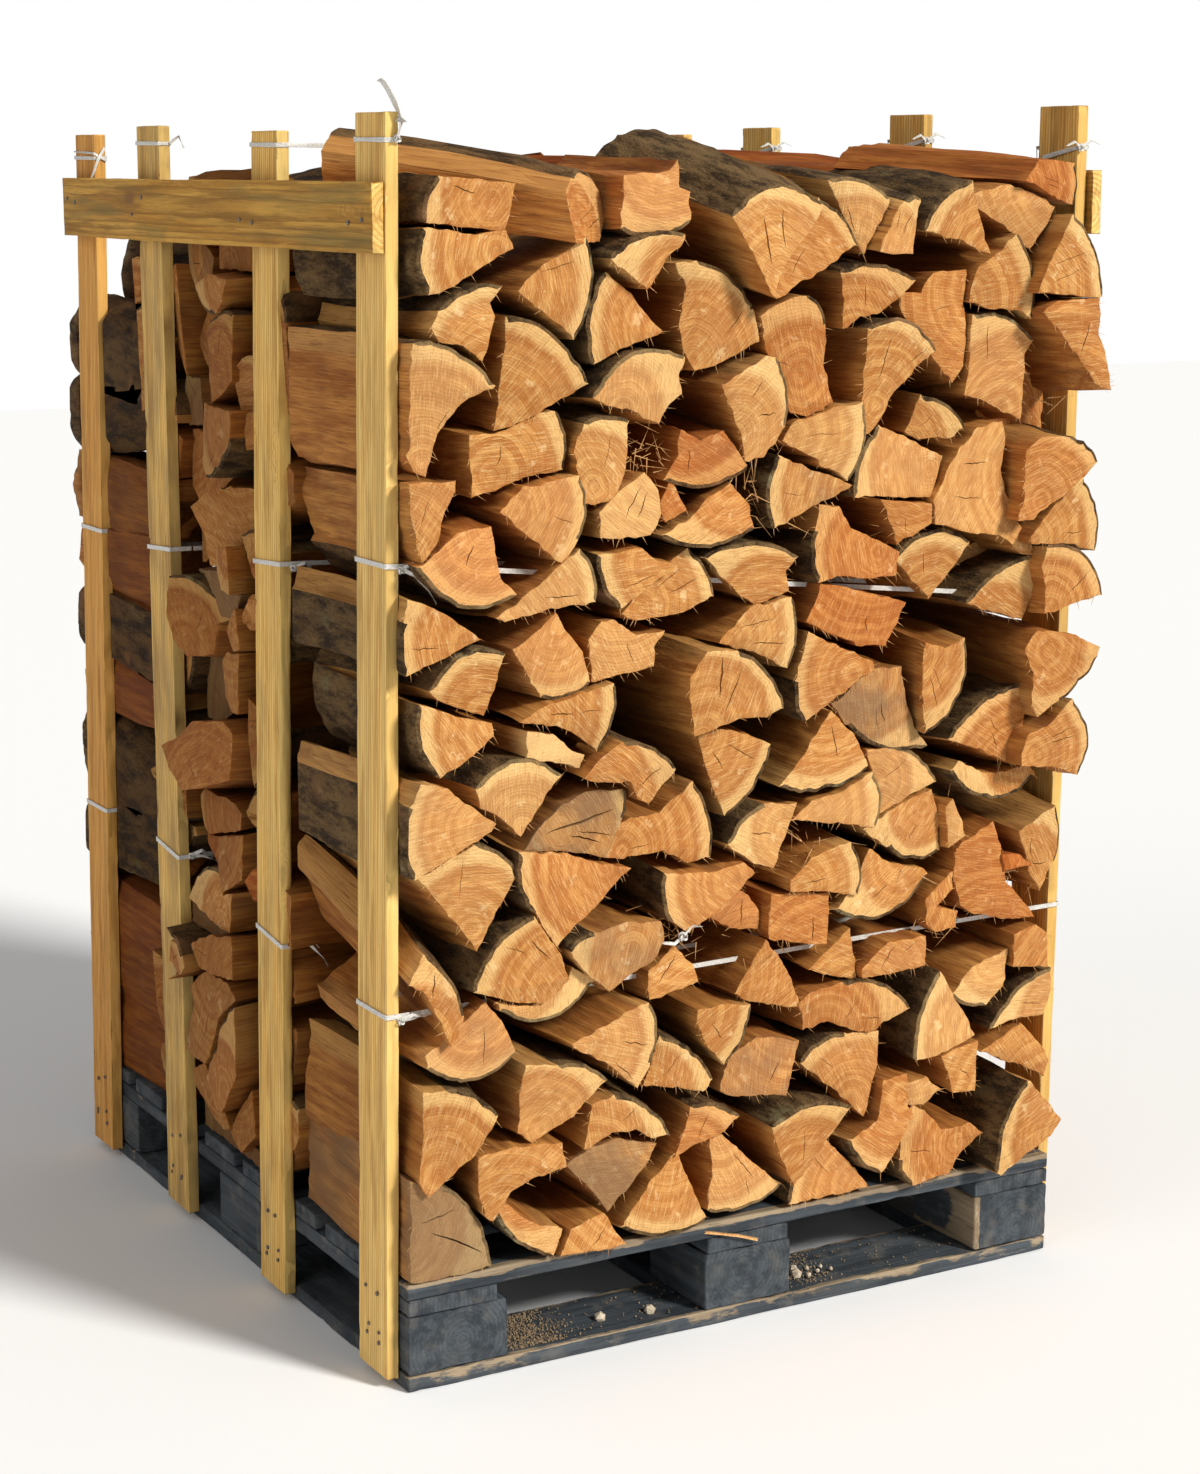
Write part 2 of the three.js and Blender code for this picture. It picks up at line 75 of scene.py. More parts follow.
FRONT_RANK = """
30,94.6 49.5,92.6 49.6,99.6 40,101.2 30.5,100.2 | red=.3 out=-78
39,116.3 49.5,115.6 49.6,123.2 44,125 40,124 | red=.3 out=-72
-44.7,149.9 -34.2,149 -35.8,143.5 -46.5,144.5~
-19.6,149.9 -13.3,150.5 -12,151.8 -11.8,148.4 -10.4,147.8 -10.1,144.5~ -20.1,143.6 | red=.8
-46.7,144 -39.9,143.2 -35.8,143.6 -34.9,141.5 -38.5,139.5 -44.5,136.4 -45.9,136.3~
-45.9,132.5 -44.9,134.5~ -36.2,137.1 -37.9,135.2 -37.1,133.6 -38.1,130.7 -39,128.2 -41.7,130.2 -44.9,130.7
-34.2,136.5 -31.3,139.5 -25.4,142.4~ -26.7,130.5 -29.9,133.3
-22.2,140.1~ -11.5,142.9 -12.4,141.6 -14.5,140 -15.4,138.2 -17.2,136.4
-22,138.5 -19.5,136.6 -14,131.1 -18.1,130 -24,127.3~
-12.2,139.3 -9.2,139.5~ -0.8,133.6 0,131 0,129.5 -4.9,127.5 -9.7,126.3 -11.5,128.6 -12.2,131.8 -11,136.4
-48.2,130.7~ -37.5,125.5 -39.2,125 -42.4,123.6 -45.1,120 -46.5,115 -48.1,115.7 -48.8,117.7 | pale=.4
-35.6,133.6~ -24.5,125.2 -28.5,123.6 -34.9,120.4 -37.6,120.1 -36.7,125.5 -35.8,130.5
-24.5,123.6~~ -11.5,128 -12.2,125.9 -11.8,123.6 -14,122 -15,120 -19.9,121.9
-40.7,119.6 -35.8,120 -32.2,121.7 -29.1,122.2~ -27.9,115 -33.5,114.1 -40.4,112.2
-25.6,120.5~ -19.5,120.4 -20,115 -21.5,110.9 -26.2,110.5 -27,116.8
-12,119.1 -9.2,117.5 -5.8,118.9 -4,116.8 -2,114.2~ -14.5,113 -12.4,116.1 | red=.6
-6.7,124.6 0,128 1.4,127.6~ 3.2,118.9 1.8,117 0,115.5 -2.6,115 -3.5,118.2 -4.9,121.4
-49.2,114.4 -42.6,114.6 -43.3,112.5 -45,109.5 -45.6,107 -47.4,105 -49,109.7
-37.2,110.5 -34.3,113.3 -26.6,114.2~ -26.7,106.5 -28.8,103.8 -32.6,106.5
10.4,149.3~ 19.1,147 18.3,145.2 16,141.5 15,140 13.5,142.5 11.8,146 | yaw=-7 rise=5
23.7,142.9~ 31.4,149.3 32.4,145 34.3,140 29.1,141.7
32,147.3 38.2,148.6 41.8,147.5 45.5,145.8 44.5,143.6 41.9,140 37.7,143.2 33,145.7
47.5,144.8~ 52.7,134.2 47.3,134.5 42.2,134.8 43.9,138.6
38.6,142.3~ 41.4,131.3 39.1,132.6 35.5,132.8 31.4,133.6 31.5,135.2 33,138.2 35.9,140
11.4,138~ 23,136.7 20,134.1 17.7,132.5 14.8,132.2 12.4,131 12.2,134.5 | red=.4
26.4,137.5 31.3,137.7 31.5,133.4 32,130 31.8,125.5 30.2,123.3 25.5,128.2 21.8,132.7 21.3,134.9 24.5,135.1
15.7,130.9~~ 26.5,127.6 23.4,125.5 20.9,122.7 19.1,120 16.8,117.3 15.7,117.2 15.7,123.6
0,132.7 2.7,134.1 6.8,135.1~ 9.9,131.4 9.5,126.4 11.4,121.4 7.3,119.9 4.9,120.5 2.7,124.5 0.9,128.6 | red=.3
32.7,132~ 43,128.5 41.7,126.6 41.3,118.1 36.4,120 31.8,121.6 32.5,127.3
43,132.3 45.5,133.6 52.5,134.1 52.3,129 53.5,126.5 54.8,121.8 52,122.5 48,127.5 45.5,130.3 | red=.4 out=24
3.6,117 5,119.1 10.9,120.8 15.2,121.4~ 13.2,111.6 9.1,113.9
24.9,122~ 31.7,117.4 30.2,116.3 24.5,116.1 22.5,117.3 23.6,119.5
14.5,109.5~ 18.2,118.2 21.8,117 28.6,113.9 26.6,108.6
29.1,112.7 30.9,115 33.6,117.3 37.6,118.2 38,116.4 37.3,111.8 38.6,107.5 40,104.7 \
41.8,102.2 44.2,99.6 40.9,100.6 37.3,103.1 31.8,104 26.8,105.2 26.4,108.1
40.9,114.5 43.6,116.1 48.2,115.9~ 53,112.3 50,110 46.5,107.5 42.5,105.3 40.2,105.3 40.9,109
2.7,115.2 9.1,112.7 14.1,110.8 10,109 5,107.2 2,105.9~ | dull=.25
-45.1,106.8 -42.9,108.3 -38.5,108.7 -38.1,105.6 -37,102.5 -35,100.3~~ -48.2,104.5 | red=.8
-26.7,105.4~ -24.5,98.8 -30.4,98.4 -36.7,96.8 -38,97.6 -32.2,101.1 -29.5,103.5
-23.5,104.3 -17.6,104.8 -15.4,103.1 -12.9,102.4 -20.4,97.4~
-20.1,96.6 -14.9,101.3 -10.1,104.2~ -6.2,97.9 -10.4,96.1 -17.6,95.6
-14.9,106.3 -10.8,108.1 -8.1,110.6 -5,112 -2.2,109.5 -1.3,106.3~
-23.6,109.6 -21,112 -17.5,114.3 -15.4,112 -14.8,109 -16.5,106.5 -18.5,106 -23.5,106.5 | pale=.8
-14.9,110 -13.4,113.5 -10.8,109 -14,107.7 | red=.6
-7.9,102.9~ 6.4,102 4.5,100.3 4.7,97.8 0,96.5 -2,97.3
-49.8,97.9 -49.2,100.5 -44.5,98.8 -39.1,95 -44.9,93 -49.7,91.6~
-46.2,89.3~~ -36.3,93 -37.4,88.8 -39,85.5 -45.4,87.9
-48.1,87.9 -43.1,86 -38.5,84.7 -38.3,83.3 -42.2,80.4 -45.4,78.5~
-35.4,93.6 -32.2,95.4 -29.5,97.7 -27.9,95.4 -25.8,92.5 -24.4,88.6~ -31.3,87.3 -32.6,89.3
-24.5,93.8 -22.9,96.1 -20.6,95.9 -17.6,94 -13.4,94 -14.8,92 -14.8,89.5 -24,88.7
-34.9,84.7 -30.4,86.5 -24.9,87.9 -21.6,88.3~ -24,80 -26.7,82 -29.5,83.8
-26.7,77.2 -24.5,79.2 -21.3,81~ -13.5,77 -15.8,75 -17.6,72.7 -19.2,73.8 -20.1,76.1 -24.9,76.5 | out=18
-33.3,83.1 -29.9,82.5 -27.6,80.2 -25.5,79.5 -26.2,78.1 -29.5,78.8 -33.3,80.2 | pale=1.6
-40.4,76.8~~ -28.5,77.4 -31.3,74.3 -34.5,70.3 -38.1,73.4 -40,74.4
-49.7,75.6 -48.5,78.6 -44.9,77.4 -41,74.3 -38.3,72.5 -39,71.6 -41.5,70.4 -44.9,68.4 -49.1,66.5~
-34,68.3 -31.3,71.6 -28.5,73.7 -24.9,75 -20.3,75~ -20.4,71.1 -22.4,66.1 -28.5,67.7 | dull=.45 crack=2
-22.3,65.9 -21.3,68.8 -18.5,70.9 -14.5,70.9 -9.7,74.4~ -7.2,64.5 -10.4,63.8 -14,66.1 -19,65.6
-11.6,88.5 -9.2,91.6 -4.5,91.2~ 3.1,83 0.5,82 -4,82.3 -10.5,80.8 -11.3,84 | crack=2 out=16
-9.2,81 -4,80.6 2.3,78.1~ -4.5,69.5 -7.2,75.2
-4.9,65.9~ 0.9,70.4 6.1,70.1 4.8,67.2 2.6,61.8 0,62.7
-48.3,66.5 -43.5,68.8 -40.8,70~ -35,65.2 -36.5,63.1 -38.1,60.4 -40.4,56.3 -44.2,61.3
-34.9,68.3 -28.5,67.7 -24.9,66.1 -19,64.5 -22.6,61.7 -26.3,58.5 -29.7,55.8 -32.9,60.4~ | out=14
-14.1,63.1 -8.5,62.6 -2.2,63.1 -0.5,61.5 -3.1,59 -10.4,54.8 -12.9,56.7~ | red=.3
8.9,105.2 9.5,108.5 12.3,108.1 14.1,105.4 18.2,103.4 21.4,101.8 21,98.8 17.3,98.5 13.2,99.1 9.3,98.6~ | red=.5
18.4,108.8 26.1,107.8 26.4,105.2 21.1,102.5 19.5,106.8 | red=.5
42,103.1 45.9,106.8 50.5,110.2~ 53,100.4 49.5,101.6 42.3,102
21.4,100.6~~ 33.2,102.3 31.4,100 28.9,97.2 27,95
44.2,98.8 44.8,101.5~~ 54.5,94.3 49.5,93.5 44.8,92.5 45,96.1
32.3,94.2~ 44.2,99.6 43.4,95.6 41.5,91.5 37.3,92.5
7.3,93.6 9.5,98.6 15,97.2 22.4,95.1 19.5,89.4 15,90.2 | red=1
-5.8,92 -1.3,96.3 4.8,97~ 4.5,88 0,90 -4,91.5
5.5,86.1 7.5,92.5 11.4,90.4 18,87.5 18.2,86.5 12.3,83.4 7,80.5~
11.9,82.4 18.2,86.5 22.5,86.5 23,82.9 24.8,78.6 26.6,75.6~ 14.5,79.3 | dull=.35
24.9,89.7 28.2,88.7 31.4,89.7~~ 25,77.7 24.5,80.6 24.3,84.7 | out=12
30,76.2~ 43.1,82.5 42.5,77.5 41.6,71.3 36.4,73.6
42,87.9 43.6,90.4 48.2,89.6 54.6,87.3 54,86~ 50.9,82.9~ 47.7,80.6 44.1,78.4 43,80.2 43.2,84.7
41.6,73.8 42.7,76.3 46.4,77.7 49.9,80.2~~ 51.3,69.8 48.9,70.9 41.6,71.9
30.5,71.8 31.8,73 35.9,71.1 40,70.4 44.1,71.3 45.5,69.3~~
3.4,72.5 7.3,76.5 11.3,81.6 15,78.1 17.6,73.6~
5.5,67.7 8.6,69.8 13.2,70.6 18.2,72.8~ 18.7,65.3 12.7,66.5
17,76.1 21.8,75.6~ 28.9,70.3 24.5,69 19.5,66.6 19.1,71.1
16.8,65.2 20.9,67 28.2,69.6 29.3,66.1 30,60.6~ 25.5,60.1~ 21.4,62.2 18.2,64
29.5,67 30.5,68 33,62.7 30.3,61.1
32,60.8 38.6,63.8 39.8,60.8 41.1,54.9 45.5,50.4 46.4,49.2 40.9,49.7 35,51.3 32.7,52.6 31.8,56.7 | red=.3
27.3,54.5 31.4,57.6 31.4,55.4 29.1,53.1 32.7,52.2 32.3,49.9 29.1,49.5 27.5,50.8
42.8,62 45.5,63.1 49.8,65~ 49.3,57.2 46.6,53 44.8,55.8
5.2,59.9 8.2,62.6 14.5,63.8~ 15.7,56.5 10.2,57.8 5,58.3
-49.5,52.9 -46.7,56.3~ -42.6,48.5 -43.1,46.3 -44.7,45.1 -45.8,48.1 -47.2,51.5 | rise=16 dull=.12 red=.4
-47.6,44 -44.9,45.3 -42.2,47.2 -39,49.5 -36.5,46.3 -34.8,42.4~~ -47.2,42.2 | red=.5 dull=.2
-41.6,51.4~ -33.1,60 -29.9,55.6 -27.9,51.3 -31.3,48.5 -35.8,49.5
-38.3,49.8 -33.1,48.2 -28.1,50.8 -27.2,52.6 -24.2,50.4~~ -37.4,48.3
-28.5,55.1~ -24.9,57 -19.9,57.7 -15.3,57.2 -14.4,54.7 -16,52 -20.4,50.4 -22.7,49.2 -25.4,51.3 | dull=.3 out=20
-15.7,50.4 -12,53.5 -9.2,50.4 -8.4,47.9 -15.9,46.6
-27.4,42.7 -22.2,44.7 -16.6,46.8~ -16.2,38.5 -18.1,35.5 -22.2,39.2 -26.3,41.6
-9.2,44.5 -5.8,44.9 -1.2,44.2~ -5.1,36.6 -7.6,39.2 -9.2,42.4
-16.6,35.3 -15.1,39.2 -14,41.3~ -6.2,34.5 -7.6,33 -11.7,34.2
-48,39.4 -44.9,39.1~ -37.8,34.9 -40.8,30.6 -44.9,27.9 -47.6,26.3 -48.9,28.1 -48.1,34.5
-34,40.9 -29.5,40.1~ -22.6,37.2 -27.2,33.1 -32.9,30.3 -35.1,32 -34.7,37.2 | out=10
-40.9,30.1 -35.8,30.6 -29.2,30 -28.6,26.8 -32.6,26.2 -36.5,24.9 -39,21.5 -40.3,22.4 -41,26.7
-25.7,28.4 -24.7,34.2 -21.3,34.9~ -12.9,28.1 -15.4,28.1 -18.1,29.7 -21.7,30 -24,29
-12.2,25.1 -11.3,27.6 -10,31.6~ -2.2,28.9 -5.4,26.7 -9,26 | red=.3
-27.7,26.3 -24.5,28.1 -20.4,28.5 -14.1,27 -15.8,24.2 -21.7,19.1 -24.5,22.9 | dull=.55
-49.8,28.1 -45.6,26.8~ -38.3,14.7 -48.1,14.6 -49.6,14.8 -49.7,20.8 | dull=1 crack=2
-38.3,22.9 -37,23.3 -33.5,20.1 -28.5,18.1 -29.9,14.6~
-29.1,14.7 -27.9,18.3 -23.1,19.7 -21.3,16.5 -19.8,14.7
-19.9,16.7 -15.4,22.4 -11.7,25.6 -9.5,20.4 -7.4,16~
-6.6,16.5 -5.8,23.1 -6.3,26.5 -4.5,26.5 0,22.2 4.5,18.5~
-4.9,32.6 -3.8,37.2 0.5,39.2 6.9,37.9 5,30.6 2.3,31 -1.7,31.3 | dull=.3
-3.2,45.5 -1.3,48.3 1.7,52.1 5.9,46.3 7.2,42.3 2.7,43.3 -1.7,44.7
2.7,58.1 11.7,57.3 11.4,50.2 2.3,52.1 | red=.2
12.5,54.9 15.9,58.1 18.2,62.3 21.8,60.1 27.3,58.5 28.1,57.6~~
8.5,47.1 15.2,52 16,45 11.4,45.9
16.1,46.5 20.2,49.5 26.6,49.8 26.7,45.5 16.3,45.1
6.8,42.9 8.4,44.2 13.6,44.7~ 24.8,39.7 20.9,38.5 18.2,37 15,38 11.4,39.7 7.5,39.1
7.5,34.5~ 14.5,37.5 20,37.1 19.9,32.6 17.7,25.5 12.7,30.1
25.4,32.2~ 29.3,44.2 32.7,39 35.8,34.2 30,32.6
32.3,40.4 35.5,43.8 41.3,45.6 40.7,40.4 37.7,38.1~
41.7,47.7 45.5,48.8 47.5,47.2 47.6,42.4 41.4,43.2
38.4,34.5~ 49,41.9 49,38.1 47.7,35.5 43.6,35.6 40,34.9
37.3,31.3 44.1,34.7 47.3,31.3 49.2,28.5 48.4,26 44.5,28.3 40.9,29.7
30,32.1 36,33.5 35.7,26.3 32,26.7 30.9,29.9 | pale=.3
14.8,22.9 18.9,25.1 20,30.6 23.6,31 24.1,26.3 24.9,24.7 22.5,20.8 20,17.5~
1.7,27.2~ 14.5,27.9 10.9,24.2 5.1,18.4 3.4,22.2 | out=12
6,15.1~ 11.1,23.8 15.5,19.2 19.1,15
23.1,18.5 23.6,22.6 25.2,26 27.3,24.9 30.2,21.7 35,21.7 37.5,20 33.6,17.6 31.8,15.1 25.5,14.5~ | red=.3
39.5,15.1~ 44.3,27.6 47.3,24.5 50.2,21 48.6,19 43.6,16.5 40.2,14.5 | out=16
24.1,29 27.3,29.9 29.8,27.6 26.8,26 24.1,26.4
-6.5,56 -2.6,58.8 0.2,58.1 1.9,55.4 1.6,53.3 -2.6,53.9 | red=1 out=-20
40,59 43,58.5 44.8,57 40.5,56.7 | red=1
"""

# The middle rank lies the other way and these ends face left. They are seen from the left, with
# the front of the stack on the right.
LEFT_ENDS = """
-4.8,135.4 1.5,137 8.3,136.5 6.5,133 4.5,132~ | out=10
-14.5,140.5 -9,141.5 -4.8,139 -6.4,135.2 -12,134.2~ | dull=.4 out=-20
-3.5,146.5~ 9,146.8 12,141 8.3,137.6 -3.5,137.6 | red=.5 out=-20
-14.6,149 -5,149.3 -4.5,142 -14.6,142~ | out=-25
0.7,129.9~ 3.6,131.7~ 8.8,132 9,123.6 5.7,121.5 2.5,120.2 1.5,123.6 | out=20
-14.8,127.3 -10,133 -4.8,131.5 -1.2,132.3 -0.1,126.7 -3.8,123.2 -9.8,123.6 | dull=.3 out=-30
1.2,120.2 4.9,119.9 11.5,119.8 10.9,116.2~ 8.3,113.6~ 5.2,111.7~ 1.2,110.4 0.2,112 0.6,115.2 | out=22
-9.8,122.8 -3.8,122.5 0.4,120.7 0.2,116.5 -8,115.6 -9.8,115.9 | dull=.3 out=-30
-14.8,122.8 -10.2,122.6 -10.1,116 -14.8,115.7~ | dull=.7 out=-10
-14.8,115.2 -10.1,115.2 -0.1,113.8 0.6,110.4 -5.4,107.5 -11.7,105.4 -14.8,107.3 | out=-25
-5.1,105.7 -0.1,108.6 3.6,109.1 9.9,109.1 9.3,102.3 5.7,101.7 4.2,99.9 3.6,98.3 -1.7,97.8 -2.2,101.5 | yaw=20
-14.8,102 -4.8,104.8 -2.6,103 -2.6,98.8 -7,98.5 -14.8,96.4 | out=-25 dull=.2
4.6,101.2 8.8,101.8 8.9,95.4 5.7,95.9~ 4.2,98.8~ | pale=.6 out=18
-9.6,96.3 0.4,97.6 3.8,95.7 8.3,95.2 5.7,91.5 -0.1,90.9~ -2.7,93.3~ -7,96~ | dull=.9 out=-5
-11.2,95.5~ -4.4,94.3~ 0.3,90.5 -2.9,89.7 -4.4,85.2 -9.3,84.6 -10.9,86.2 -12.2,90.4 | yaw=24 out=10
5.2,90 8.3,93.6 8.9,88 6.8,87.5 | out=12
2.3,85.5 4,86.8 7.8,87.2 7.5,79 5.2,79 3.1,81 | out=14
-14.8,84.2~ -3,84.3~ 2.1,84.2 2.5,78.5 -4,76.6 -9,74.5 -14.8,74.6 | dull=1 out=-25
-13.5,71.4 -8.5,73.5 -4.8,76.1 3.4,77.5 5.8,76 5,69.5 -3,67 -8.5,65.8 -11.7,68.5 | yaw=12 out=20
-12,64 -9.8,65.3 -0.6,65.9 6.3,65 5.7,62.5 -0.6,61 -8,59.2 -10,60~ | out=-8
-9.8,58.8 -1.5,60 -2.2,55.8 -6.4,54.6 -9.8,57.5 | red=.8 out=-18
-1.2,60.3 6.2,61.9 6.2,55.7 -0.1,52.6 -1.2,55.8 | pale=.3 out=12
-13.3,49 -9.4,53~ -0.8,55.3 0.3,52.4 4,53.5 2.9,47.7 -.8,47.4 | pale=.5 out=12
-14.9,48.6~ -1.4,46.8 -5,44.6 -9,45 -14.9,45 | dull=1 out=-12
-7.7,43.7 -4.8,45.3 -0.1,47 6.2,48 6.2,41.8 3.6,41.4 -2.7,41 -4.8,40.8 | out=22
-14.9,43.5 -13.8,45~ -12,44.5~ -8.5,42 -7.6,40.6 -9.8,39 -14.9,37 | pale=.6 out=32
-12.2,36.4 -9.8,38.2 -4.8,40.3 3,40.5 6,39 0,35 -3.3,28.7 -5,26.9 -12.7,26.9 -11.2,31.5 -9.8,34.5 | out=24
-4.6,25~ -0.6,30.3~ 3.6,36~ 6.7,38.2 7.8,28.7 1.7,21.8 -0.6,21.2 | pale=.4 out=30
-13.2,23.5 -8.5,25.8 -4.8,23.5 -0.8,20.8 1.3,19 -1.7,18.2 -4.8,18.7 -12.7,21.4 | pale=.4 out=20
0.2,18.2 1.7,20.3 7.8,26.4 8.3,19.8 3.6,16.1 | out=14
-14.6,21~ -6,18.3 0,17.6 8.4,17 8.6,14.6 -14.6,14.6 | dull=1 out=-10
"""


# The bark-sided logs at the left end of the back rank, seen from behind.
BACK_LEFT = """
39,14.6 49.4,14.7 49.8,19 49,25.2 40,25.6 | red=.6 out=20
39.3,26 48.6,25.5 49.7,30 49.2,35.4 44,36 40,34.9 | red=.3 out=32 rise=2
38.8,35.6 44,36.4 49,35.8 49.6,41 48.4,44.3 41,45.2 | red=.5 out=26 rise=-2
39,45.6 45,44.9 49,45.3~ 49.8,51~ 47.8,55.2~ 41,54.4 | dull=.2 out=30 rise=3
38.7,55 42,54.8 47.6,55.8~ 49.8,61~ 49.4,67~ 46,70.6~ 40,69.5 | out=34 rise=-4
39,70 45.6,71.1 49.2,70.5 49.6,75 48.3,78.2 41,78 | red=.5 out=24 rise=3
38.8,78.6 44,78.7 49.2,78.8~ 49.7,84~ 48,88 41,88.6 | red=.7 pale=.5 out=38 rise=-2
39,89.2 47.4,88.4 49.7,92 49.1,97.8 42,98.6 | red=.3 out=28 rise=3
38.8,99 49,98.4 49.8,103.5 48.4,108.6 41,108.2 | dull=.3 out=34 rise=-3
39,109 48,109.2~ 49.8,114~ 49,119.2~ 43,120.6 40,118 | out=38 rise=4
39.6,120.4 44,121.2 48.6,119.8~ 49.8,125~ 48,130.6~ 41,131.4 | red=.4 pale=.3 out=30 rise=-3
"""

# Loose logs on top: the CAD log each stands for; the middle of its front end, in millimetres right
# of the middle, above the deck and behind the front rank's face; its section in centimetres; its
# length in millimetres; its turn and rise in degrees; and its facts.
TOP_LOGS = (
    ("log_top_left", (-240, 1319, 20), "-4.8,-4 -5.4,1.6 -3.0,3.3~ 1.5,4.0~ 4.9,2.2 5.2,-1.8 2.2,-4.2",
     325, -42, 9.5, "red=.1 pale=.1 crack=1"),
    ("log_top_bark", (15, 1283, -26), "-7.3,2.3~~ 6.7,3.7 4,.3 2,-1.2 -1.5,-5 -2.5,-7.5",
     335, -3, 12, "crack=1"),
    ("log_top_bark", (52, 1258, -14), "3,7~ 7.8,1.1 2.1,-1.9 -5.2,-5.2 -5.8,-2.7 -1.6,1.6 1.8,4.6",
     330, -2, 11, ""),
    ("log_top_split", (197, 1293, -8), "-1,1.5 .8,3~ 3.8,3.3 2.8,.6 2.1,-3.7 -3.8,-3.2 -2.2,-.5",
     330, -9, 6, "pale=.3"),
    ("log_top_flat", (446, 1350, -10), "-5.4,-.3 -2.3,2.4 4.6,2.1~ 3.8,-3.3 .9,-2.4",
     330, -13, 2, "red=.7"),
)


BARK_BULGE = (0.0, 0.13, 0.22)      # of the side's length, for no mark, "~" and "~~"


def corners(text):
    """Corners, bark bulge of each side and the facts of one log."""
    shape, _, notes = text.partition("|")
    points, bulge = [], []
    for word in shape.split():
        bulge.append(BARK_BULGE[word.count("~")])
        points.append([float(v) * CM for v in word.replace("~", "").split(",")])
    facts = {k: float(v) for k, v in (n.split("=") for n in notes.split())}
    return np.array(points), bulge, facts


def read_rank(text):
    return [corners(line) for line in text.strip().splitlines()]


def window(rank, low, high, shift):
    """The logs of a rank whose middle lies between low and high, moved sideways and kept inside."""
    kept = []
    for points, bulge, facts in rank:
        if low < points[:, 0].mean() < high:
            moved = points.copy()
            moved[:, 0] = np.clip(moved[:, 0], low - 0.01, high + 0.01) + shift
            kept.append((moved, bulge, dict(facts, yaw=0.0, rise=0.0, out=0.0)))
    return kept


# ---------------------------------------------------------------- small numeric helpers

def lattice(i, j, k, seed):
    """A fixed random number from -1 to 1 for each whole-numbered point."""
    h = (i * 374761393 + j * 668265263 + k * 1440662683 + seed * 1274126177) & 0xFFFFFFFF
    h = ((h ^ (h >> 13)) * 1103515245) & 0xFFFFFFFF
    return ((h ^ (h >> 16)) & 0xFFFF) / 32767.5 - 1.0


def lumps(p, seed=0):
    """Smooth random relief from -1 to 1 at each point."""
    q = np.floor(p).astype(np.int64)
    f = p - q
    f = f * f * (3 - 2 * f)
    total = 0.0
    for a in (0, 1):
        for b in (0, 1):
            for c in (0, 1):
                weight = (np.abs(1 - a - f[..., 0]) * np.abs(1 - b - f[..., 1])
                          * np.abs(1 - c - f[..., 2]))
                total = total + weight * lattice(q[..., 0] + a, q[..., 1] + b, q[..., 2] + c, seed)
    return total


def smooth(x):
    """A soft step from 0 to 1."""
    x = np.clip(x, 0, 1)
    return x * x * (3 - 2 * x)


def turned(v, angle):
    """Flat vectors turned anticlockwise."""
    c, s = math.cos(angle), math.sin(angle)
    return np.stack([v[..., 0] * c - v[..., 1] * s, v[..., 0] * s + v[..., 1] * c], -1)


class Heap:
    """Gathers the vertices, faces and surface values of many shapes into one mesh piece."""

    def __init__(self):
        self.points, self.faces, self.finish = [], [], []
        self.values = {"trunk": [], "tint": [], "girth": [], "groove": []}
        self.count = 0

    def add(self, points, faces, finish, trunk, tint, girth, groove):
        n = len(points)
        self.points.append(points)
        self.faces.extend([tuple(i + self.count for i in f) for f in faces])
        self.finish.extend(finish)
        self.values["trunk"].append(trunk)
        self.values["tint"].append(np.broadcast_to(tint, (n, 3)))
        self.values["girth"].append(np.broadcast_to(girth, (n,)))
        self.values["groove"].append(np.broadcast_to(groove, (n,)))
        self.count += n

    def piece(self, name, materials, crease=38):
        mesh = bpy.data.meshes.new(name)
        mesh.from_pydata(np.concatenate(self.points).tolist(), [], self.faces)
        for m in materials:
            mesh.materials.append(m)
        mesh.polygons.foreach_set("material_index", self.finish)
        mesh.polygons.foreach_set("use_smooth", [True] * len(mesh.polygons))
        for key, kind in (("trunk", "FLOAT_VECTOR"), ("tint", "FLOAT_VECTOR"),
                          ("girth", "FLOAT"), ("groove", "FLOAT")):
            data = np.concatenate(self.values[key]).astype(np.float32)
            attribute = mesh.attributes.new(key, kind, "POINT")
            attribute.data.foreach_set("vector" if kind == "FLOAT_VECTOR" else "value", data.ravel())
        mesh.set_sharp_from_angle(angle=math.radians(crease))
        mesh.update()
        obj = bpy.data.objects.new(name, mesh)
        bpy.context.scene.collection.objects.link(obj)
        return obj


# ---------------------------------------------------------------- logs

END, SPLIT, BARK = 0, 1, 2


Arc = namedtuple("Arc", "chord centre radius middle")


def perimeter(points, bulge, step):
    """The outline in close steps, anticlockwise; which points are bark; the longest bark arc; the corners."""
    n = len(points)
    following = np.roll(points, -1, axis=0)
    if np.sum(points[:, 0] * following[:, 1] - following[:, 0] * points[:, 1]) < 0:
        points = points[::-1]
        bulge = [bulge[(n - 2 - i) % n] for i in range(n)]
    outline, bark, longest = [], [], None
    for i in range(n):
        a, b = points[i], points[(i + 1) % n]
        side = b - a
        length = float(np.hypot(*side))
        if length < .1 * MM:
            continue
        normal = np.array([side[1], -side[0]]) / length
        count = max(1, int(round(length / step)))
        t = np.arange(count) / count
        line = a + t[:, None] * side
        if bulge[i]:
            line = line + (4 * t * (1 - t) * bulge[i] * length)[:, None] * normal
            sag = bulge[i] * length
            radius = (length * length / 4 + sag * sag) / (2 * sag)
            if longest is None or length > longest.chord:
                longest = Arc(length, (a + b) / 2 + normal * (sag - radius), radius, (a + b) / 2)
        outline.append(line)
        bark.extend([bulge[i] > 0] * count)
    return np.concatenate(outline), np.array(bark), longest, points


def outward(p):
    """The outward direction at each point of an anticlockwise ring."""
    d = np.roll(p, -1, axis=0) - np.roll(p, 1, axis=0)
    d /= np.maximum(np.hypot(d[:, 0], d[:, 1]), 1e-9)[:, None]
    return np.stack([d[:, 1], -d[:, 0]], -1)


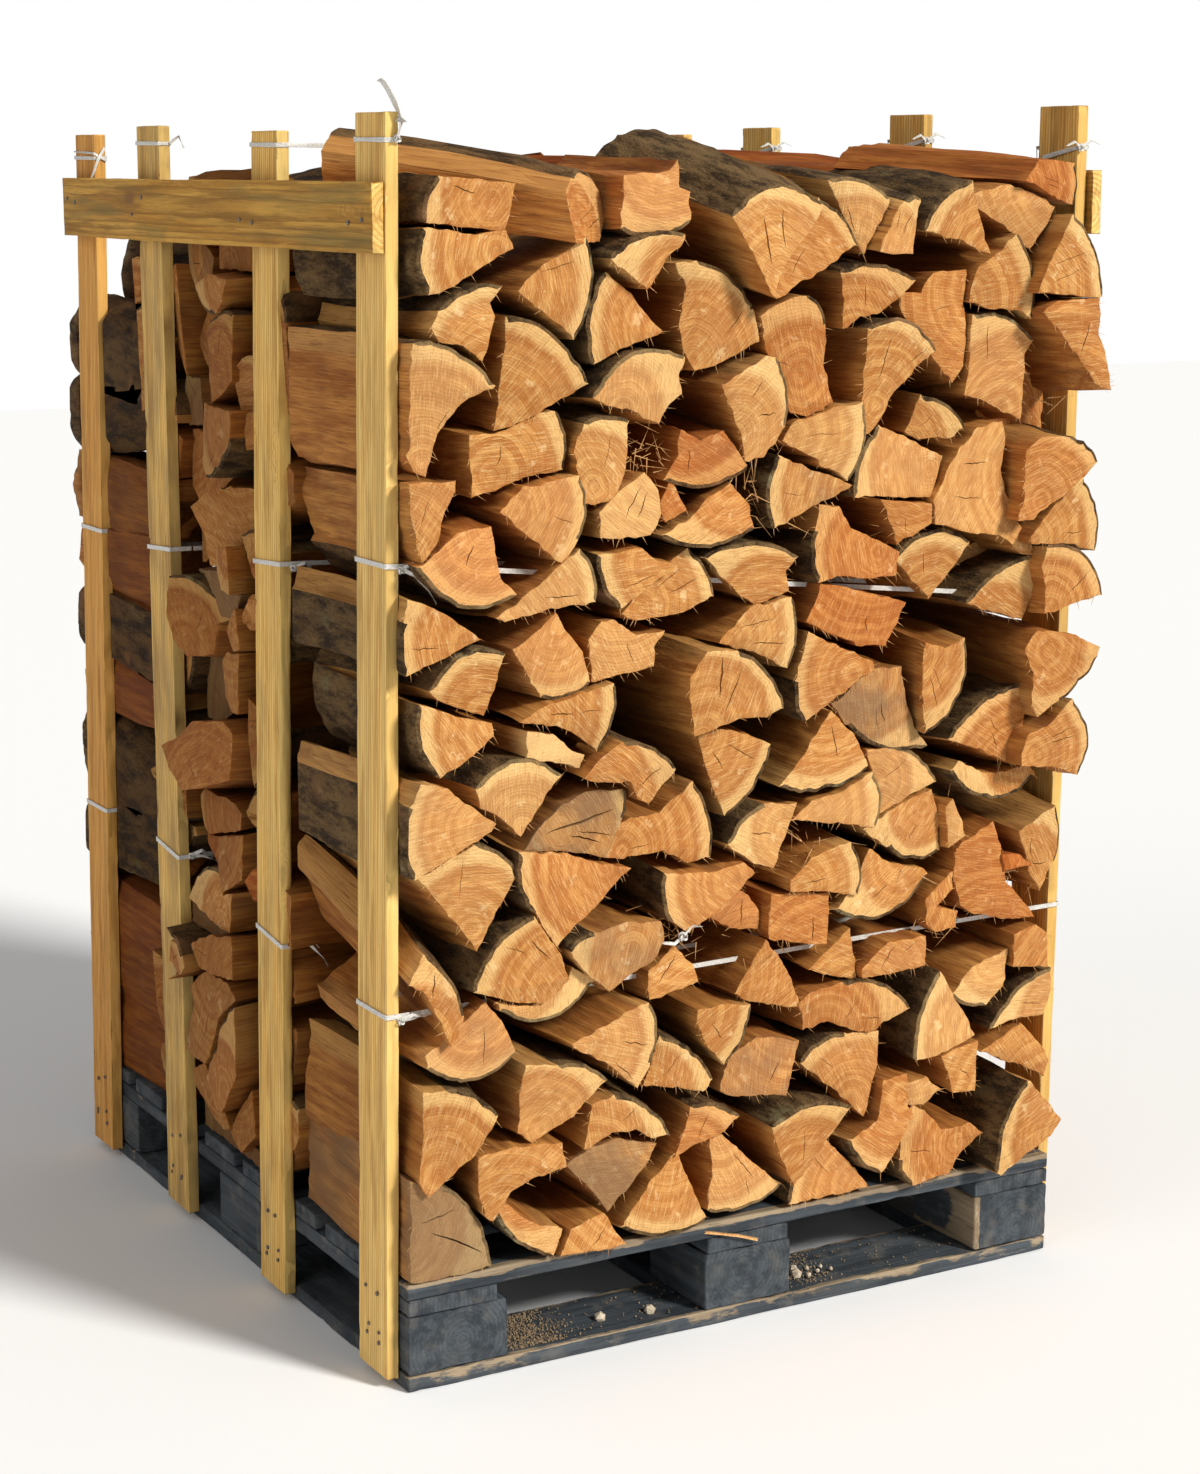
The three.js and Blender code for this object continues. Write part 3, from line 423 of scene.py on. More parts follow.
def edge_distance(p, ring):
    """Distance from each point to a closed ring, and whether it is inside."""
    a, b = ring, np.roll(ring, -1, axis=0)
    d = b - a
    rel = p[:, None] - a[None]
    t = np.clip((rel * d).sum(-1) / np.maximum((d * d).sum(-1), 1e-12), 0, 1)
    dist = np.sqrt(((rel - t[..., None] * d) ** 2).sum(-1)).min(1)
    cross = (a[None, :, 1] > p[:, None, 1]) != (b[None, :, 1] > p[:, None, 1])
    rise = np.where(np.abs(d[:, 1]) < 1e-12, 1e-12, d[:, 1])
    x = a[None, :, 0] + (p[:, None, 1] - a[None, :, 1]) * (d[:, 0] / rise)[None]
    inside = (cross & (p[:, None, 0] < x)).sum(1) % 2 == 1
    return dist, inside


CRACK_TRIES = 12         # for each crack that is wanted
CRACK_POINTS = 11
CRACK_TO_EDGE = 2.2 * MM
CRACK_TO_CRACK = 3 * MM


def drying_cracks(ring, pith, wanted, size, rng):
    """Lens-shaped openings that run outwards from the heart of the trunk."""
    found = []
    span = ring.max(0) - ring.min(0)
    for _ in range(wanted * CRACK_TRIES):
        if len(found) >= wanted:
            break
        start = ring.min(0) + span * np.array([rng.uniform(.25, .75), rng.uniform(.25, .75)])
        away = start - pith
        away = away / max(np.hypot(*away), 1e-6)
        away = turned(away, rng.uniform(-.35, .35))
        length = rng.uniform(.024, .062) * (1 + .4 * size)
        half = rng.uniform(.35, .85) * MM * (1 + .55 * size)
        t = np.linspace(0, 1, CRACK_POINTS)
        across = np.array([-away[1], away[0]])
        wander = np.cumsum([rng.uniform(-1, 1) for _ in t]) * 1.25 * MM
        line = start + np.outer((t - .4) * length, away) + np.outer(wander, across)
        width = half * np.sin(np.pi * t) ** .7
        left = line[1:-1] + np.outer(width[1:-1], across)
        right = line[1:-1] - np.outer(width[1:-1], across)
        hole = np.concatenate([line[:1], right, line[-1:], left[::-1]])
        dist, inside = edge_distance(hole, ring)
        if not inside.all() or dist.min() < CRACK_TO_EDGE:
            continue
        gaps = [np.hypot(*(other[:, None] - hole[None]).transpose(2, 0, 1)).min() for other, _ in found]
        if gaps and min(gaps) < CRACK_TO_CRACK:
            continue
        found.append((hole, line[1:-1]))
    return found


def flat_cap(rings):
    """Triangles over a flat outline with holes; indices run through the rings in order."""
    loops = [[Vector((x, y, 0)) for x, y in ring] for ring in rings]
    flat = np.concatenate(rings)
    faces = []
    for a, b, c in tessellate_polygon(loops):
        pa, pb, pc = flat[a], flat[b], flat[c]
        area = (pb[0] - pa[0]) * (pc[1] - pa[1]) - (pc[0] - pa[0]) * (pb[1] - pa[1])
        if abs(area) < 1e-12:
            continue
        faces.append((a, b, c) if area > 0 else (a, c, b))
    return faces


# How a rank of logs lies: its origin and axes, the logs' length, what keeps them in place, how much painted
# shade darkens them, and how much more painted shade darkens their sides behind their sawn ends.
Rank = namedtuple("Rank", "origin right up inward depth limits shade recess")

# How finely a log is made: the step round it, its sections along the length, and whether it has cracks.
Detail = namedtuple("Detail", "step sections cracked")

FRONT_DETAIL = Detail(.0047, (0, .003, .012, .035, .08, .15, .26, .38, .52, .68, .85, .99, 1), True)
SIDE_DETAIL = Detail(.0075, (0, .003, .015, .05, .12, .25, .45, .7, .99, 1), True)
OPEN_SIDE_DETAIL = Detail(.0065, (0, .003, .012, *(.035 + .0345 * k for k in range(28)), .99, 1), True)
HIDDEN_DETAIL = Detail(.014, (0, .004, .06, .3, .65, 1), False)

# Waves of relief on a log's side: height; size round and along the log, noise layer and seed step.
TORN_WAVES = (
    (2.6 * MM, (.011, .11, 3.5, 0)),
    (3.2 * MM, (.045, .19, 7.5, 1)),
    (1.7 * MM, (.0065, .05, .5, 2)),
    (1.5 * MM, (.020, .030, 9.5, 5)),
)
BARK_FURROWS, FURROW_DEPTH = (.017, .055, 1.5, 3), 2.4 * MM
BARK_LUMPS, LUMP_HEIGHT = (.05, .08, 5.5, 4), 3.4 * MM
BARK_PLATES, PLATE_HEIGHT = (.012, .024, 11.5, 6), 1.8 * MM
BARK_INSET, SPLIT_INSET = 4.8, 1.2      # mm that the sawn end is smaller all round
NO_BARK_GIRTH = .5                      # a log without bark is all heartwood
SIDE_OF_STACK = .5                      # a front log that reaches past this is cut back behind its end
SIDE_LOG_OUT = .034
SEEN_SHIFT = .56                        # how far such an end moves left for each metre it stands out


def side_noise(around, along, wave, seed):
    """Smooth random relief from -1 to 1 over a log's side."""
    size_round, size_along, layer, seed_step = wave
    at = np.stack([around / size_round, along / size_along, around * 0 + layer], -1)
    return lumps(at, seed + seed_step)


def side_relief(around, along, bark, seed):
    """How far a log's side stands out, how raised its grain is (its low parts get painted shade), and the
    furrows of its bark.
    """
    torn = sum(height * side_noise(around, along, wave, seed) for height, wave in TORN_WAVES)
    furrow = 1 - 2 * np.abs(side_noise(around, along, BARK_FURROWS, seed))
    lump = side_noise(around, along, BARK_LUMPS, seed)
    plate = side_noise(around, along, BARK_PLATES, seed)
    rough = FURROW_DEPTH * furrow + LUMP_HEIGHT * lump + PLATE_HEIGHT * plate
    raised_bark = .5 + .5 * np.clip(furrow * .8 + lump * .3, -1, 1)
    raised_split = .5 + .5 * np.clip(torn / (5 * MM), -1, 1)
    return np.where(bark, rough, torn), np.where(bark, raised_bark, raised_split), furrow


def heart_of(centre, arc, polygon, rng):
    """Where the heart of the trunk was, and how far from it the bark lies."""
    if not arc:
        turn = rng.uniform(0, 2 * math.pi)
        return centre + np.array([math.cos(turn), math.sin(turn)]) * rng.uniform(.075, .15), NO_BARK_GIRTH
    apex = polygon[np.argmax(np.hypot(*(polygon - arc.middle).T))]
    heart = arc.centre * .5 + apex * .5
    sag = arc.radius - math.sqrt(max(arc.radius * arc.radius - arc.chord * arc.chord / 4, 0))
    return heart, float(np.hypot(*(arc.middle - heart))) + sag


def sweep_faces(rows, n, bark):
    """Quads between the rings of a log and their finishes; the first row belongs to the sawn end."""
    faces, finish = [], []
    for k in range(rows - 1):
        for i in range(n):
            j = (i + 1) % n
            faces.append((k * n + i, (k + 1) * n + i, (k + 1) * n + j, k * n + j))
            if bark[i]:
                finish.append(BARK)
            else:
                finish.append(END if k == 0 else SPLIT)
    return faces, finish


def crack_walls(start, hole_size, floor_start, floor_size):
    """Faces from the rim of a crack down to the line at its bottom."""
    bottom = [0, *range(floor_size), floor_size - 1, *reversed(range(floor_size))]
    faces = []
    for i in range(hole_size):
        j = (i + 1) % hole_size
        a, b = floor_start + bottom[i], floor_start + bottom[j]
        if a == b:
            faces.append((start + i, start + j, a))
        else:
            faces.append((start + i, start + j, b, a))
    return faces


def build_log(heap, log, rank, rng, detail, planes, rims=None):
    """One split log, swept inwards from its sawn end."""
    corner_points, bulge, facts = log
    rng = random.Random(rng.randrange(1 << 30))
    ring, bark, arc, polygon = perimeter(corner_points, bulge, detail.step)
    n = len(ring)
    centre = ring.mean(0)
    pith, girth = heart_of(centre, arc, polygon, rng)
    length = rank.depth * rng.uniform(.965, 1.0)
    face = facts.get("out", 0.0) * MM + rng.uniform(-9, 9) * MM
    yaw = math.radians(facts.get("yaw", 0.0) + rng.uniform(-3, 3))
    rise = math.radians(facts.get("rise", 0.0) + rng.uniform(-2, 2))
    tilt = (math.tan(yaw) + rng.uniform(-.05, .05), math.tan(rise) + rng.uniform(-.05, .05))
    if corner_points[:, 0].max() > SIDE_OF_STACK:
        face = max(face, SIDE_LOG_OUT)
        yaw, tilt = 0.0, (0.0, 0.0)
        moved = np.array([SEEN_SHIFT * face, 0])
        ring, centre, pith = ring - moved, centre - moved, pith - moved
    taper, twist = rng.uniform(-.10, .05), math.radians(rng.uniform(-4, 4))
    bend = np.array([rng.uniform(-1, 1), rng.uniform(-1, 1)]) * 5 * MM
    seed = rng.randrange(1 << 20)
    hue = facts.get("red", 0.0) * .9 + rng.uniform(-.35, .4)
    # the rank's painted shade lowers the lightness
    light = facts.get("pale", 0.0) + rng.uniform(-.75, .35) - rank.shade
    weather = facts.get("dull", 0.0) + max(0, rng.uniform(-.5, .14))

    # the outline repeated along the log, with its relief
    normal = outward(ring)
    w = np.array(detail.sections) * length
    part = w / length
    travel = np.cumsum(np.hypot(*(np.roll(ring, -1, axis=0) - ring).T))
    around = np.broadcast_to(travel, (len(w), n))
    along = np.broadcast_to(w[:, None], (len(w), n))
    relief, groove, furrow = side_relief(around, along, bark, seed)
    relief = relief * (.75 + .25 * smooth(w / .03))[:, None]
    grid = np.repeat(ring[None], len(w), 0) + relief[..., None] * normal[None]
    grid[0] = grid[0] - (np.where(bark, BARK_INSET, SPLIT_INSET) * MM)[:, None] * normal

    # twist, taper, a little more girth behind the end, bend and lean
    turn = part[:, None] * twist
    shape = grid - centre
    c, q = np.cos(turn), np.sin(turn)
    shape = np.stack([shape[..., 0] * c - shape[..., 1] * q, shape[..., 0] * q + shape[..., 1] * c], -1)
    thicker = 1 + taper * part ** 1.3 + (.10 if detail.cracked else 0.0) * smooth((w - .035) / .07)
    shape = shape * thicker[:, None, None]
    arch = (4 * part * (1 - part))[:, None, None] * bend
    slide = np.stack([w * math.tan(yaw), w * math.tan(rise)], -1)[:, None]
    grid = shape + centre + arch + slide

    # how deep each point lies; the end is sawn a little askew
    depth_at = along.copy()
    depth_at[1] = np.where(bark, 1.6 * MM + .8 * MM * furrow[1], .7 * MM)
    depth_at = depth_at - face
    fade = (1 - smooth(w / .09))[:, None]
    depth_at += fade * ((grid[..., 0] - centre[0]) * tilt[0] + (grid[..., 1] - centre[1]) * tilt[1])
    grid = rank.limits(grid, depth_at)

    def place(uv, wd):
        world = rank.origin + uv[..., :1] * rank.right + uv[..., 1:] * rank.up + wd[..., None] * rank.inward
        return clear_of_posts(world, planes)

    shift = rng.uniform(0, 40)
    world = place(grid, depth_at).reshape(-1, 3)
    spin = rng.uniform(0, math.pi)
    spin = np.array([[math.cos(spin), -math.sin(spin)], [math.sin(spin), math.cos(spin)]])
    trunk = np.concatenate([(grid - pith - slide * .9) @ spin, (depth_at + shift)[..., None]], -1)
    trunk = trunk.reshape(-1, 3)
    groove = groove.reshape(-1)
    faces, finish = sweep_faces(len(w), n, bark)

    # both ends, the sawn one with its cracks
    wanted = 0
    if detail.cracked:
        wanted = rng.choice((0, 0, 1, 1, 2)) + int(facts.get("crack", 0))
    cracks = drying_cracks(grid[0], pith, wanted, facts.get("crack", 0), rng)
    cap = flat_cap([grid[0]] + [hole for hole, _ in cracks])
    extra, extra_depth, base = [], [], len(world)
    cap_points = list(range(n))
    for hole, line in cracks:
        start = base + len(extra)
        floor_start = start + len(hole)
        cap_points.extend(range(start, floor_start))
        extra.extend(hole)
        extra_depth.extend((hole - centre) @ np.array(tilt) - face)
        extra.extend(line)
        extra_depth.extend((line - centre) @ np.array(tilt) - face + rng.uniform(7, 13) * MM)
        walls = crack_walls(start, len(hole), floor_start, len(line))
        faces.extend(walls)
        finish.extend([SPLIT] * len(walls))
    far = flat_cap([grid[-1]])
    last = (len(w) - 1) * n
    faces.extend(tuple(cap_points[i] for i in tri) for tri in cap)
    faces.extend((last + a, last + c, last + b) for a, b, c in far)
    finish.extend([END] * (len(cap) + len(far)))
    if extra:
        extra, extra_depth = np.array(extra), np.array(extra_depth)
        world = np.concatenate([world, place(extra, extra_depth)])
        inner = np.concatenate([(extra - pith) @ spin, (extra_depth + shift)[:, None]], -1)
        trunk = np.concatenate([trunk, inner])
        # the walls of drying cracks count as low groove, so the split finish paints shade on them
        groove = np.concatenate([groove, np.full(len(extra), .2)])

    tints = np.empty((len(world), 3))
    tints[:] = (hue, light, weather)
    # painted shade: the sides darken with depth behind the sawn end, where the stack would shade them
    tints[:len(w) * n, 1] -= (rank.recess * smooth((w - .004) / .055) + .4 * smooth(w / .004)).repeat(n)
    tints[:len(w) * n, 2] *= (1 - .6 * smooth(w / .02)).repeat(n)
    heap.add(world, faces, finish, trunk, tints, girth, groove)
    if rims is not None:
        for i in range(n):
            if not bark[i] and normal[i][1] < .35:
                rims.append((world[n + i], normal[i][0] * rank.right + normal[i][1] * rank.up))


POST_AIR = .0012         # between a log and the upright in front of it
POST_HALF = .0435        # half an upright's width, and a little more
POST_BLEND = .009
STACK_LOW, STACK_HIGH = .1445, 1.60
TIP_REACH = .562         # no log tip reaches farther right than this


def post_planes():
    """The inner face of each upright: side, heights, inner X and middle Y at foot and top."""
    planes = []
    for side, sign, inner in (("left", 1, 2), ("right", -1, 1)):
        for k in (1, 2, 3, 4):
            rows = stations(f"post_{side}_{k}", 2)
            foot, top = rows[0], rows[-1]
            planes.append((sign, foot[0], top[0], foot[inner][0], top[inner][0],
                           (foot[1][1] + foot[2][1]) / 2, (top[1][1] + top[2][1]) / 2))
    return planes


def clear_of_posts(world, planes):
    """Moves what would stand inside an upright to just behind its inner face."""
    x, y, z = world[..., 0], world[..., 1], world[..., 2]
    for sign, z0, z1, x0, x1, y0, y1 in planes:
        f = (z - z0) / (z1 - z0)
        inner = x0 + (x1 - x0) * f + sign * POST_AIR
        near = 1 - smooth((np.abs(y - y0 - (y1 - y0) * f) - POST_HALF) / POST_BLEND)
        x = x + sign * np.maximum(sign * (inner - x), 0) * near
    return np.stack([x, y, z], -1)


def held_between(left, right, tips_pass=False):
    """Keeps a rank's logs between two sides; where tips pass, sawn ends may reach past the right one."""
    def apply(grid, depth_at):
        u = grid[..., 0]
        if tips_pass:
            widest = float(u.max())
            if widest > right:
                keep = right - .045
                squeeze = 1 - (right - keep) / (widest - keep)
                behind = smooth((depth_at + .026) / .020)
                u = np.where(u > keep, keep + (u - keep) * (1 - squeeze * behind), u)
        else:
            u = np.minimum(u, right)
        u = np.clip(u, left, TIP_REACH)
        return np.stack([u, np.clip(grid[..., 1], STACK_LOW, STACK_HIGH)], -1)
    return apply


def swollen(rank, growth):
    """The same logs a little thicker, so that hidden ranks close up."""
    return [((points - points.mean(axis=0)) * growth + points.mean(axis=0), bulge, facts)
            for points, bulge, facts in rank]


# The tiers that the twine makes of the stack, with their heights.
TIERS = (("low", 0, .495), ("mid", .495, .985), ("top", .985, 2))
END_COLUMN = .40         # logs farther out than this show their long sides past the uprights


def ranks_of_logs():
    """The logs of each rank with how they lie and how finely they are made."""
    X, Y, Z = np.eye(3)
    front_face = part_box("logs_front_mid")[0].y + FRONT_TIPS
    back_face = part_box("logs_back_mid")[1].y - BACK_TIPS
    side_face = .503
    front = read_rank(FRONT_RANK)
    front_rank = Rank(np.array([0, front_face, 0]), X, Z, Y, LOG_LENGTH,
                      held_between(-.4990, .4975, tips_pass=True), -.1, 1.35)
    back_rank = Rank(np.array([0, back_face, 0]), -X, Z, -Y, LOG_LENGTH, held_between(-.4975, .4990), .2, 3.3)
    left_rank = Rank(np.array([-side_face, 0, 0]), -Y, Z, X, LOG_LENGTH, held_between(-.277, .239), 2.0, 1.6)
    right_rank = Rank(np.array([side_face, 0, 0]), Y, Z, -X, LOG_LENGTH, held_between(-.239, .277), .4, 1.5)
    inner_rank = Rank(np.array([-.165, 0, 0]), -Y, Z, X, .33, held_between(-.277, .239), 1.2, 1.5)
    left = (read_rank(LEFT_ENDS) + swollen(window(front, .15, .28, -.43), 1.05)
            + swollen(window(front, -.05, .08, .14), 1.05))
    right = swollen(window(front, -.30, .21, .065), 1.06)
    inner = swollen(window(front, -.20, .30, -.065), 1.12)
    back = [log for log in swollen(front, 1.03) if log[0][:, 0].mean() < .385] + read_rank(BACK_LEFT)
    return (("front", ((front, front_rank, FRONT_DETAIL),)),
            ("back", ((back, back_rank, SIDE_DETAIL),)),
            ("core", ((left, left_rank, SIDE_DETAIL), (right, right_rank, SIDE_DETAIL),
                      (inner, inner_rank, HIDDEN_DETAIL))))


def stack_logs(finishes, planes):
    """All the ranks of the stack, one joined piece for each tier; returns points on the front ends' rims."""
    rng = random.Random(SEED)
    rims = []
    for name, parts in ranks_of_logs():
        for tier, low, high in TIERS:
            heap = Heap()
            for logs, rank, detail in parts:
                for log in logs:
                    across, height = log[0].mean(axis=0)
                    leftward = {"front": -across, "back": across, "core": 0}[name]
                    if low <= height < high:
                        build_log(heap, log, rank, rng, OPEN_SIDE_DETAIL if leftward > END_COLUMN else detail,
                                  planes, rims if name == "front" else None)
            piece = heap.piece(f"firewood_{name}_{tier}", finishes)
            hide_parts(f"logs_{name}_{tier}")
            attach(piece, "root")
    return rims


def top_logs(finishes, planes):
    """The logs that lie loose on the top of the stack."""
    rng = random.Random(SEED + 5)
    front_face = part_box("logs_front_mid")[0].y + FRONT_TIPS
    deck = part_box("deck_board_1")[1].z
    heaps = {}
    for node, (across, above, behind), section, length, turn, rise, notes in TOP_LOGS:
        points, bulge, facts = corners(section + " | " + notes)
        angle = math.radians(turn)
        inward = np.array([math.sin(angle), math.cos(angle), 0])
        right = np.array([math.cos(angle), -math.sin(angle), 0])
        origin = np.array([across * MM, front_face + behind * MM, deck + above * MM])
        facts["rise"] = rise
        lying = Rank(origin, right, np.array([0, 0, 1.0]), inward, length * MM,
                     lambda grid, depth: grid, 0.0, .45)
        heap = heaps.setdefault(node, Heap())
        build_log(heap, (points, bulge, facts), lying, rng, FRONT_DETAIL, planes)
    for node, heap in heaps.items():
        piece = heap.piece("firewood_" + node, finishes)
        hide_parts(node)
        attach(piece, "root")


# ---------------------------------------------------------------- sawn boards

SECTION_GAP = .02        # corners of a CAD board farther apart than this are in different sections
SECTION_SIZE = .01       # corners that span less than this aren't a section


def stations(node, axis):
    """Where a sawn CAD board has sections: its place along the axis and its low and high sides there."""
    co = np.array([v.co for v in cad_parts[node].data.vertices])
    co = co[np.argsort(co[:, axis])]
    cuts = np.where(np.diff(co[:, axis]) > SECTION_GAP)[0] + 1
    found = []
    for part in np.split(co, cuts):
        if np.ptp(part, axis=0).max() > SECTION_SIZE:
            found.append((part[:, axis].mean(), part.min(0), part.max(0)))
    found[0] = (co[0, axis],) + found[0][1:]
    found[-1] = (co[-1, axis],) + found[-1][1:]
    return found


FACE, END_GRAIN = 0, 1


def board_outline(size, step):
    """A unit outline of four sides and their corners: its points, their outward way and their wear."""
    pattern, outer, wear = [], [], []
    sides = (((1, 0), (0, 1)), ((0, 1), (-1, 0)), ((-1, 0), (0, -1)), ((0, -1), (1, 0)))
    for (nx, ny), (tx, ty) in sides:
        half = size[0] if tx else size[1]
        m = max(1, int(2 * half / step))
        for i in range(m + 1):
            f = -1 + 2 * i / m
            pattern.append((nx + tx * f, ny + ty * f))
            outer.append((nx, ny))
            wear.append(math.exp(-(1 - abs(f)) * half / .004))
        for degrees in (30, 60):
            c, s = math.cos(math.radians(degrees)), math.sin(math.radians(degrees))
            pattern.append((nx + tx, ny + ty))
            outer.append((nx * c + tx * s, ny * c + ty * s))
            wear.append(1.0)
    return np.array(pattern), np.array(outer), np.array(wear)


def board(name, node, axis, finish, rng, corner=2.2, step=.012, wane=(), bare=None,
          relief=.45, rough_end=.8, pith=None, tint=(0, 0, 0)):
    """A sawn board over its CAD solid, with worn corners, grain relief and rough ends.

    corner, relief and rough_end are in millimetres. wane lists corners that were cut too near the
    bark: their two sides, start and end along the board, and depth. bare gives worn paint by place.
    """
    rows = stations(node, axis)
    a, b = (2, 0) if axis == 1 else [i for i in range(3) if i != axis]
    t0, t1 = rows[0][0], rows[-1][0]
    length = t1 - t0
    edge = np.array([0, .0012, .004, .010])
    count = max(4, int(length / .016))
    t = np.unique(np.concatenate([edge, np.linspace(.02, length - .02, count), length - edge]))
    where = np.array([r[0] for r in rows]) - t0
    low = np.stack([np.interp(t, where, [r[1][i] for r in rows]) for i in (a, b)], -1)
    high = np.stack([np.interp(t, where, [r[2][i] for r in rows]) for i in (a, b)], -1)
    half, mid = (high - low) / 2, (high + low) / 2
    size = half.mean(0)
    radius = min(corner * MM, size.min() * .45)
    pattern, outer, wear = board_outline(size, step)
    n = len(pattern)
    seed = rng.randrange(1 << 20)
    tt = np.broadcast_to(t[:, None], (len(t), n))
    ids = np.broadcast_to(np.arange(n)[None] * 1.0, (len(t), n))
    wob = lumps(np.stack([tt / .05, ids * .13, ids * 0], -1), seed)
    rad = radius * (1 + .45 * wob)
    for (sx, sy, t_low, t_high, amount) in wane:
        near = (np.sign(pattern[:, 0]) == sx) & (np.sign(pattern[:, 1]) == sy) & (wear > .5)
        span = smooth((tt - t_low * length) / .12) * smooth((t_high * length - tt) / .12)
        uneven = 1 + .5 * lumps(np.stack([tt / .03, ids * 0, ids * 0], -1), seed + 9)
        rad = rad + near[None] * span * amount * MM * uneven
    rad = np.minimum(rad, size.min() * .9)
    flat = np.clip(pattern, -1, 1)[None] * half[:, None]
    pulled = flat.copy()
    for i in (0, 1):
        limit = half[:, None, i] - rad
        pulled[..., i] = np.clip(flat[..., i], -limit, limit)
    pos = pulled + outer[None] * rad[..., None]
    # side points keep to their own face
    for i in (0, 1):
        on_face = np.abs(outer[:, i]) > .999
        pos[:, on_face, i] = (np.sign(outer[on_face, i])[None] * half[:, None, i])
    across, up = pos[..., 0], pos[..., 1]
    grain = (relief * MM * lumps(np.stack([across / .006, up / .006, tt / .09], -1), seed + 1)
             + relief * 1.6 * MM * lumps(np.stack([across / .05, up / .05, tt / .3], -1), seed + 2))
    nick = lumps(np.stack([tt / .012, ids * .3, ids * 0 + 2], -1), seed + 3)
    chip = wear[None] * np.maximum(nick - .45, 0) * 5 * MM
    pos = pos - outer[None] * (np.abs(grain) + chip)[..., None]
    pos[[0, -1]] -= outer * (1.1 * MM)
    rough = lumps(np.stack([pos[..., 0] / .01, pos[..., 1] / .01, tt * 0 + .5], -1), seed + 4)
    ends = rough_end * MM * np.abs(rough)
    along = tt + ends * ((tt < .003) * 1.0 - (tt > length - .003) * 1.0)
    world = np.zeros((len(t), n, 3))
    world[..., a] = pos[..., 0] + mid[:, None, 0]
    world[..., b] = pos[..., 1] + mid[:, None, 1]
    world[..., axis] = along + t0
    if pith is None:
        pith = (rng.uniform(-.6, .6) * size[0], (1.5 + rng.uniform(0, 2)) * size[1] * rng.choice((-1, 1)))
    shift = rng.uniform(0, 40)
    trunk = np.concatenate([pos - np.array(pith), (tt + shift)[..., None]], -1).reshape(-1, 3)
    faces, finish_index = [], []
    swap = np.linalg.det(np.array([np.eye(3)[a], np.eye(3)[b], np.eye(3)[axis]])) < 0
    for k in range(len(t) - 1):
        for i in range(n):
            j = (i + 1) % n
            q = (k * n + i, k * n + j, (k + 1) * n + j, (k + 1) * n + i)
            faces.append(q[::-1] if swap else q)
            finish_index.append(FACE)
    last = (len(t) - 1) * n
    for p, q, r in flat_cap([pos[0]]):
        faces.append((p, q, r) if swap else (p, r, q))
        faces.append((last + p, last + r, last + q) if swap else (last + p, last + q, last + r))
        finish_index += [END_GRAIN, END_GRAIN]
    groove = np.broadcast_to(wear[None], (len(t), n)).reshape(-1)
    bareness = bare(world).reshape(-1) if bare else 0.0
    heap = Heap()
    heap.add(world.reshape(-1, 3), faces, finish_index, trunk,
             (tint[0] + rng.uniform(-.25, .25), tint[1] + rng.uniform(-.25, .25), tint[2]), bareness, groove)
    piece = heap.piece(name, finish, crease=42)
    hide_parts(node)
    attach(piece, "root")


def raw_front(world):
    """Bare, splintered wood along the front edge."""
    x, y, z = np.moveaxis(world, -1, 0)
    front = (y < y.min() + .016) * 1.0
    ragged = .004 * lumps(np.stack([x / .035, x * 0, x * 0 + .5], -1), 5)
    upper = smooth((z - z.max() + .0095 + ragged) / .003)
    return front * (.08 + .70 * upper)


def dusty_top(world):
    """Paint rubbed through and dusty on the upper side."""
    return (world[..., 2] > world[..., 2].max() - .003) * .34


def torn_left(world):
    """The left side, torn down to bare wood near the front."""
    torn = (world[..., 0] < world[..., 0].min() + .012) * 1.0
    return torn * (.95 - .5 * smooth((world[..., 1] - world[..., 1].min() - .03) / .05))


def pallet(finish):
    """The painted boards and blocks, each over its own CAD solid."""
    rng = random.Random(SEED + 11)
    for node in sorted(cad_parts):
        if node.startswith("deck_board"):
            seen = node.endswith("_1")
            board(node + "_worn", node, 0, finish, rng, corner=2.6, relief=.6,
                  step=.004 if seen else .012, bare=raw_front if seen else None, tint=(0, .1, .2))
        elif node in ("skid_front", "skid_back"):
            board(node + "_worn", node, 0, finish, rng, corner=3.0, relief=.9, bare=dusty_top,
                  wane=((1, -1, .1, .8, 2),))
        elif node.startswith(("skid_", "stringer_")):
            board(node + "_worn", node, 1, finish, rng, corner=2.6, relief=.6)
        elif node.startswith("block_"):
            board(node + "_worn", node, 1, finish, rng, corner=4.0, relief=.9, rough_end=1.6,
                  bare=torn_left if node == "block_front_right" else None,
                  pith=(rng.uniform(-.02, .02), rng.uniform(-.05, .05)))


# How red, pale and weathered each of the left uprights is, and where its corners are waney.
BATTEN_TINTS = {"post_left_1": (0, .05, 0), "post_left_2": (0, .05, .12), "post_left_3": (-.1, -.25, .34),
                "post_left_4": (.8, -.35, 0)}
BATTEN_WANES = {"post_left_2": ((1, -1, .05, .62, 9), (-1, -1, .3, .62, 5)),
                "post_left_3": ((-1, 1, .0, .3, 4),)}


def uprights(post_finish, rail_finish):
    """The upright battens and the two rails nailed across them."""
    rng = random.Random(SEED + 23)
    for node in sorted(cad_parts):
        if node.startswith("post_"):
            board(node + "_batten", node, 2, post_finish, rng, corner=1.2, relief=.6,
                  wane=BATTEN_WANES.get(node, ()), tint=BATTEN_TINTS.get(node, (.2, 0, .1)))
        elif node.startswith("rail_"):
            board(node + "_batten", node, 1, rail_finish, rng, corner=1.4, relief=.7,
                  rough_end=2.6)


# ---------------------------------------------------------------- shader wiring

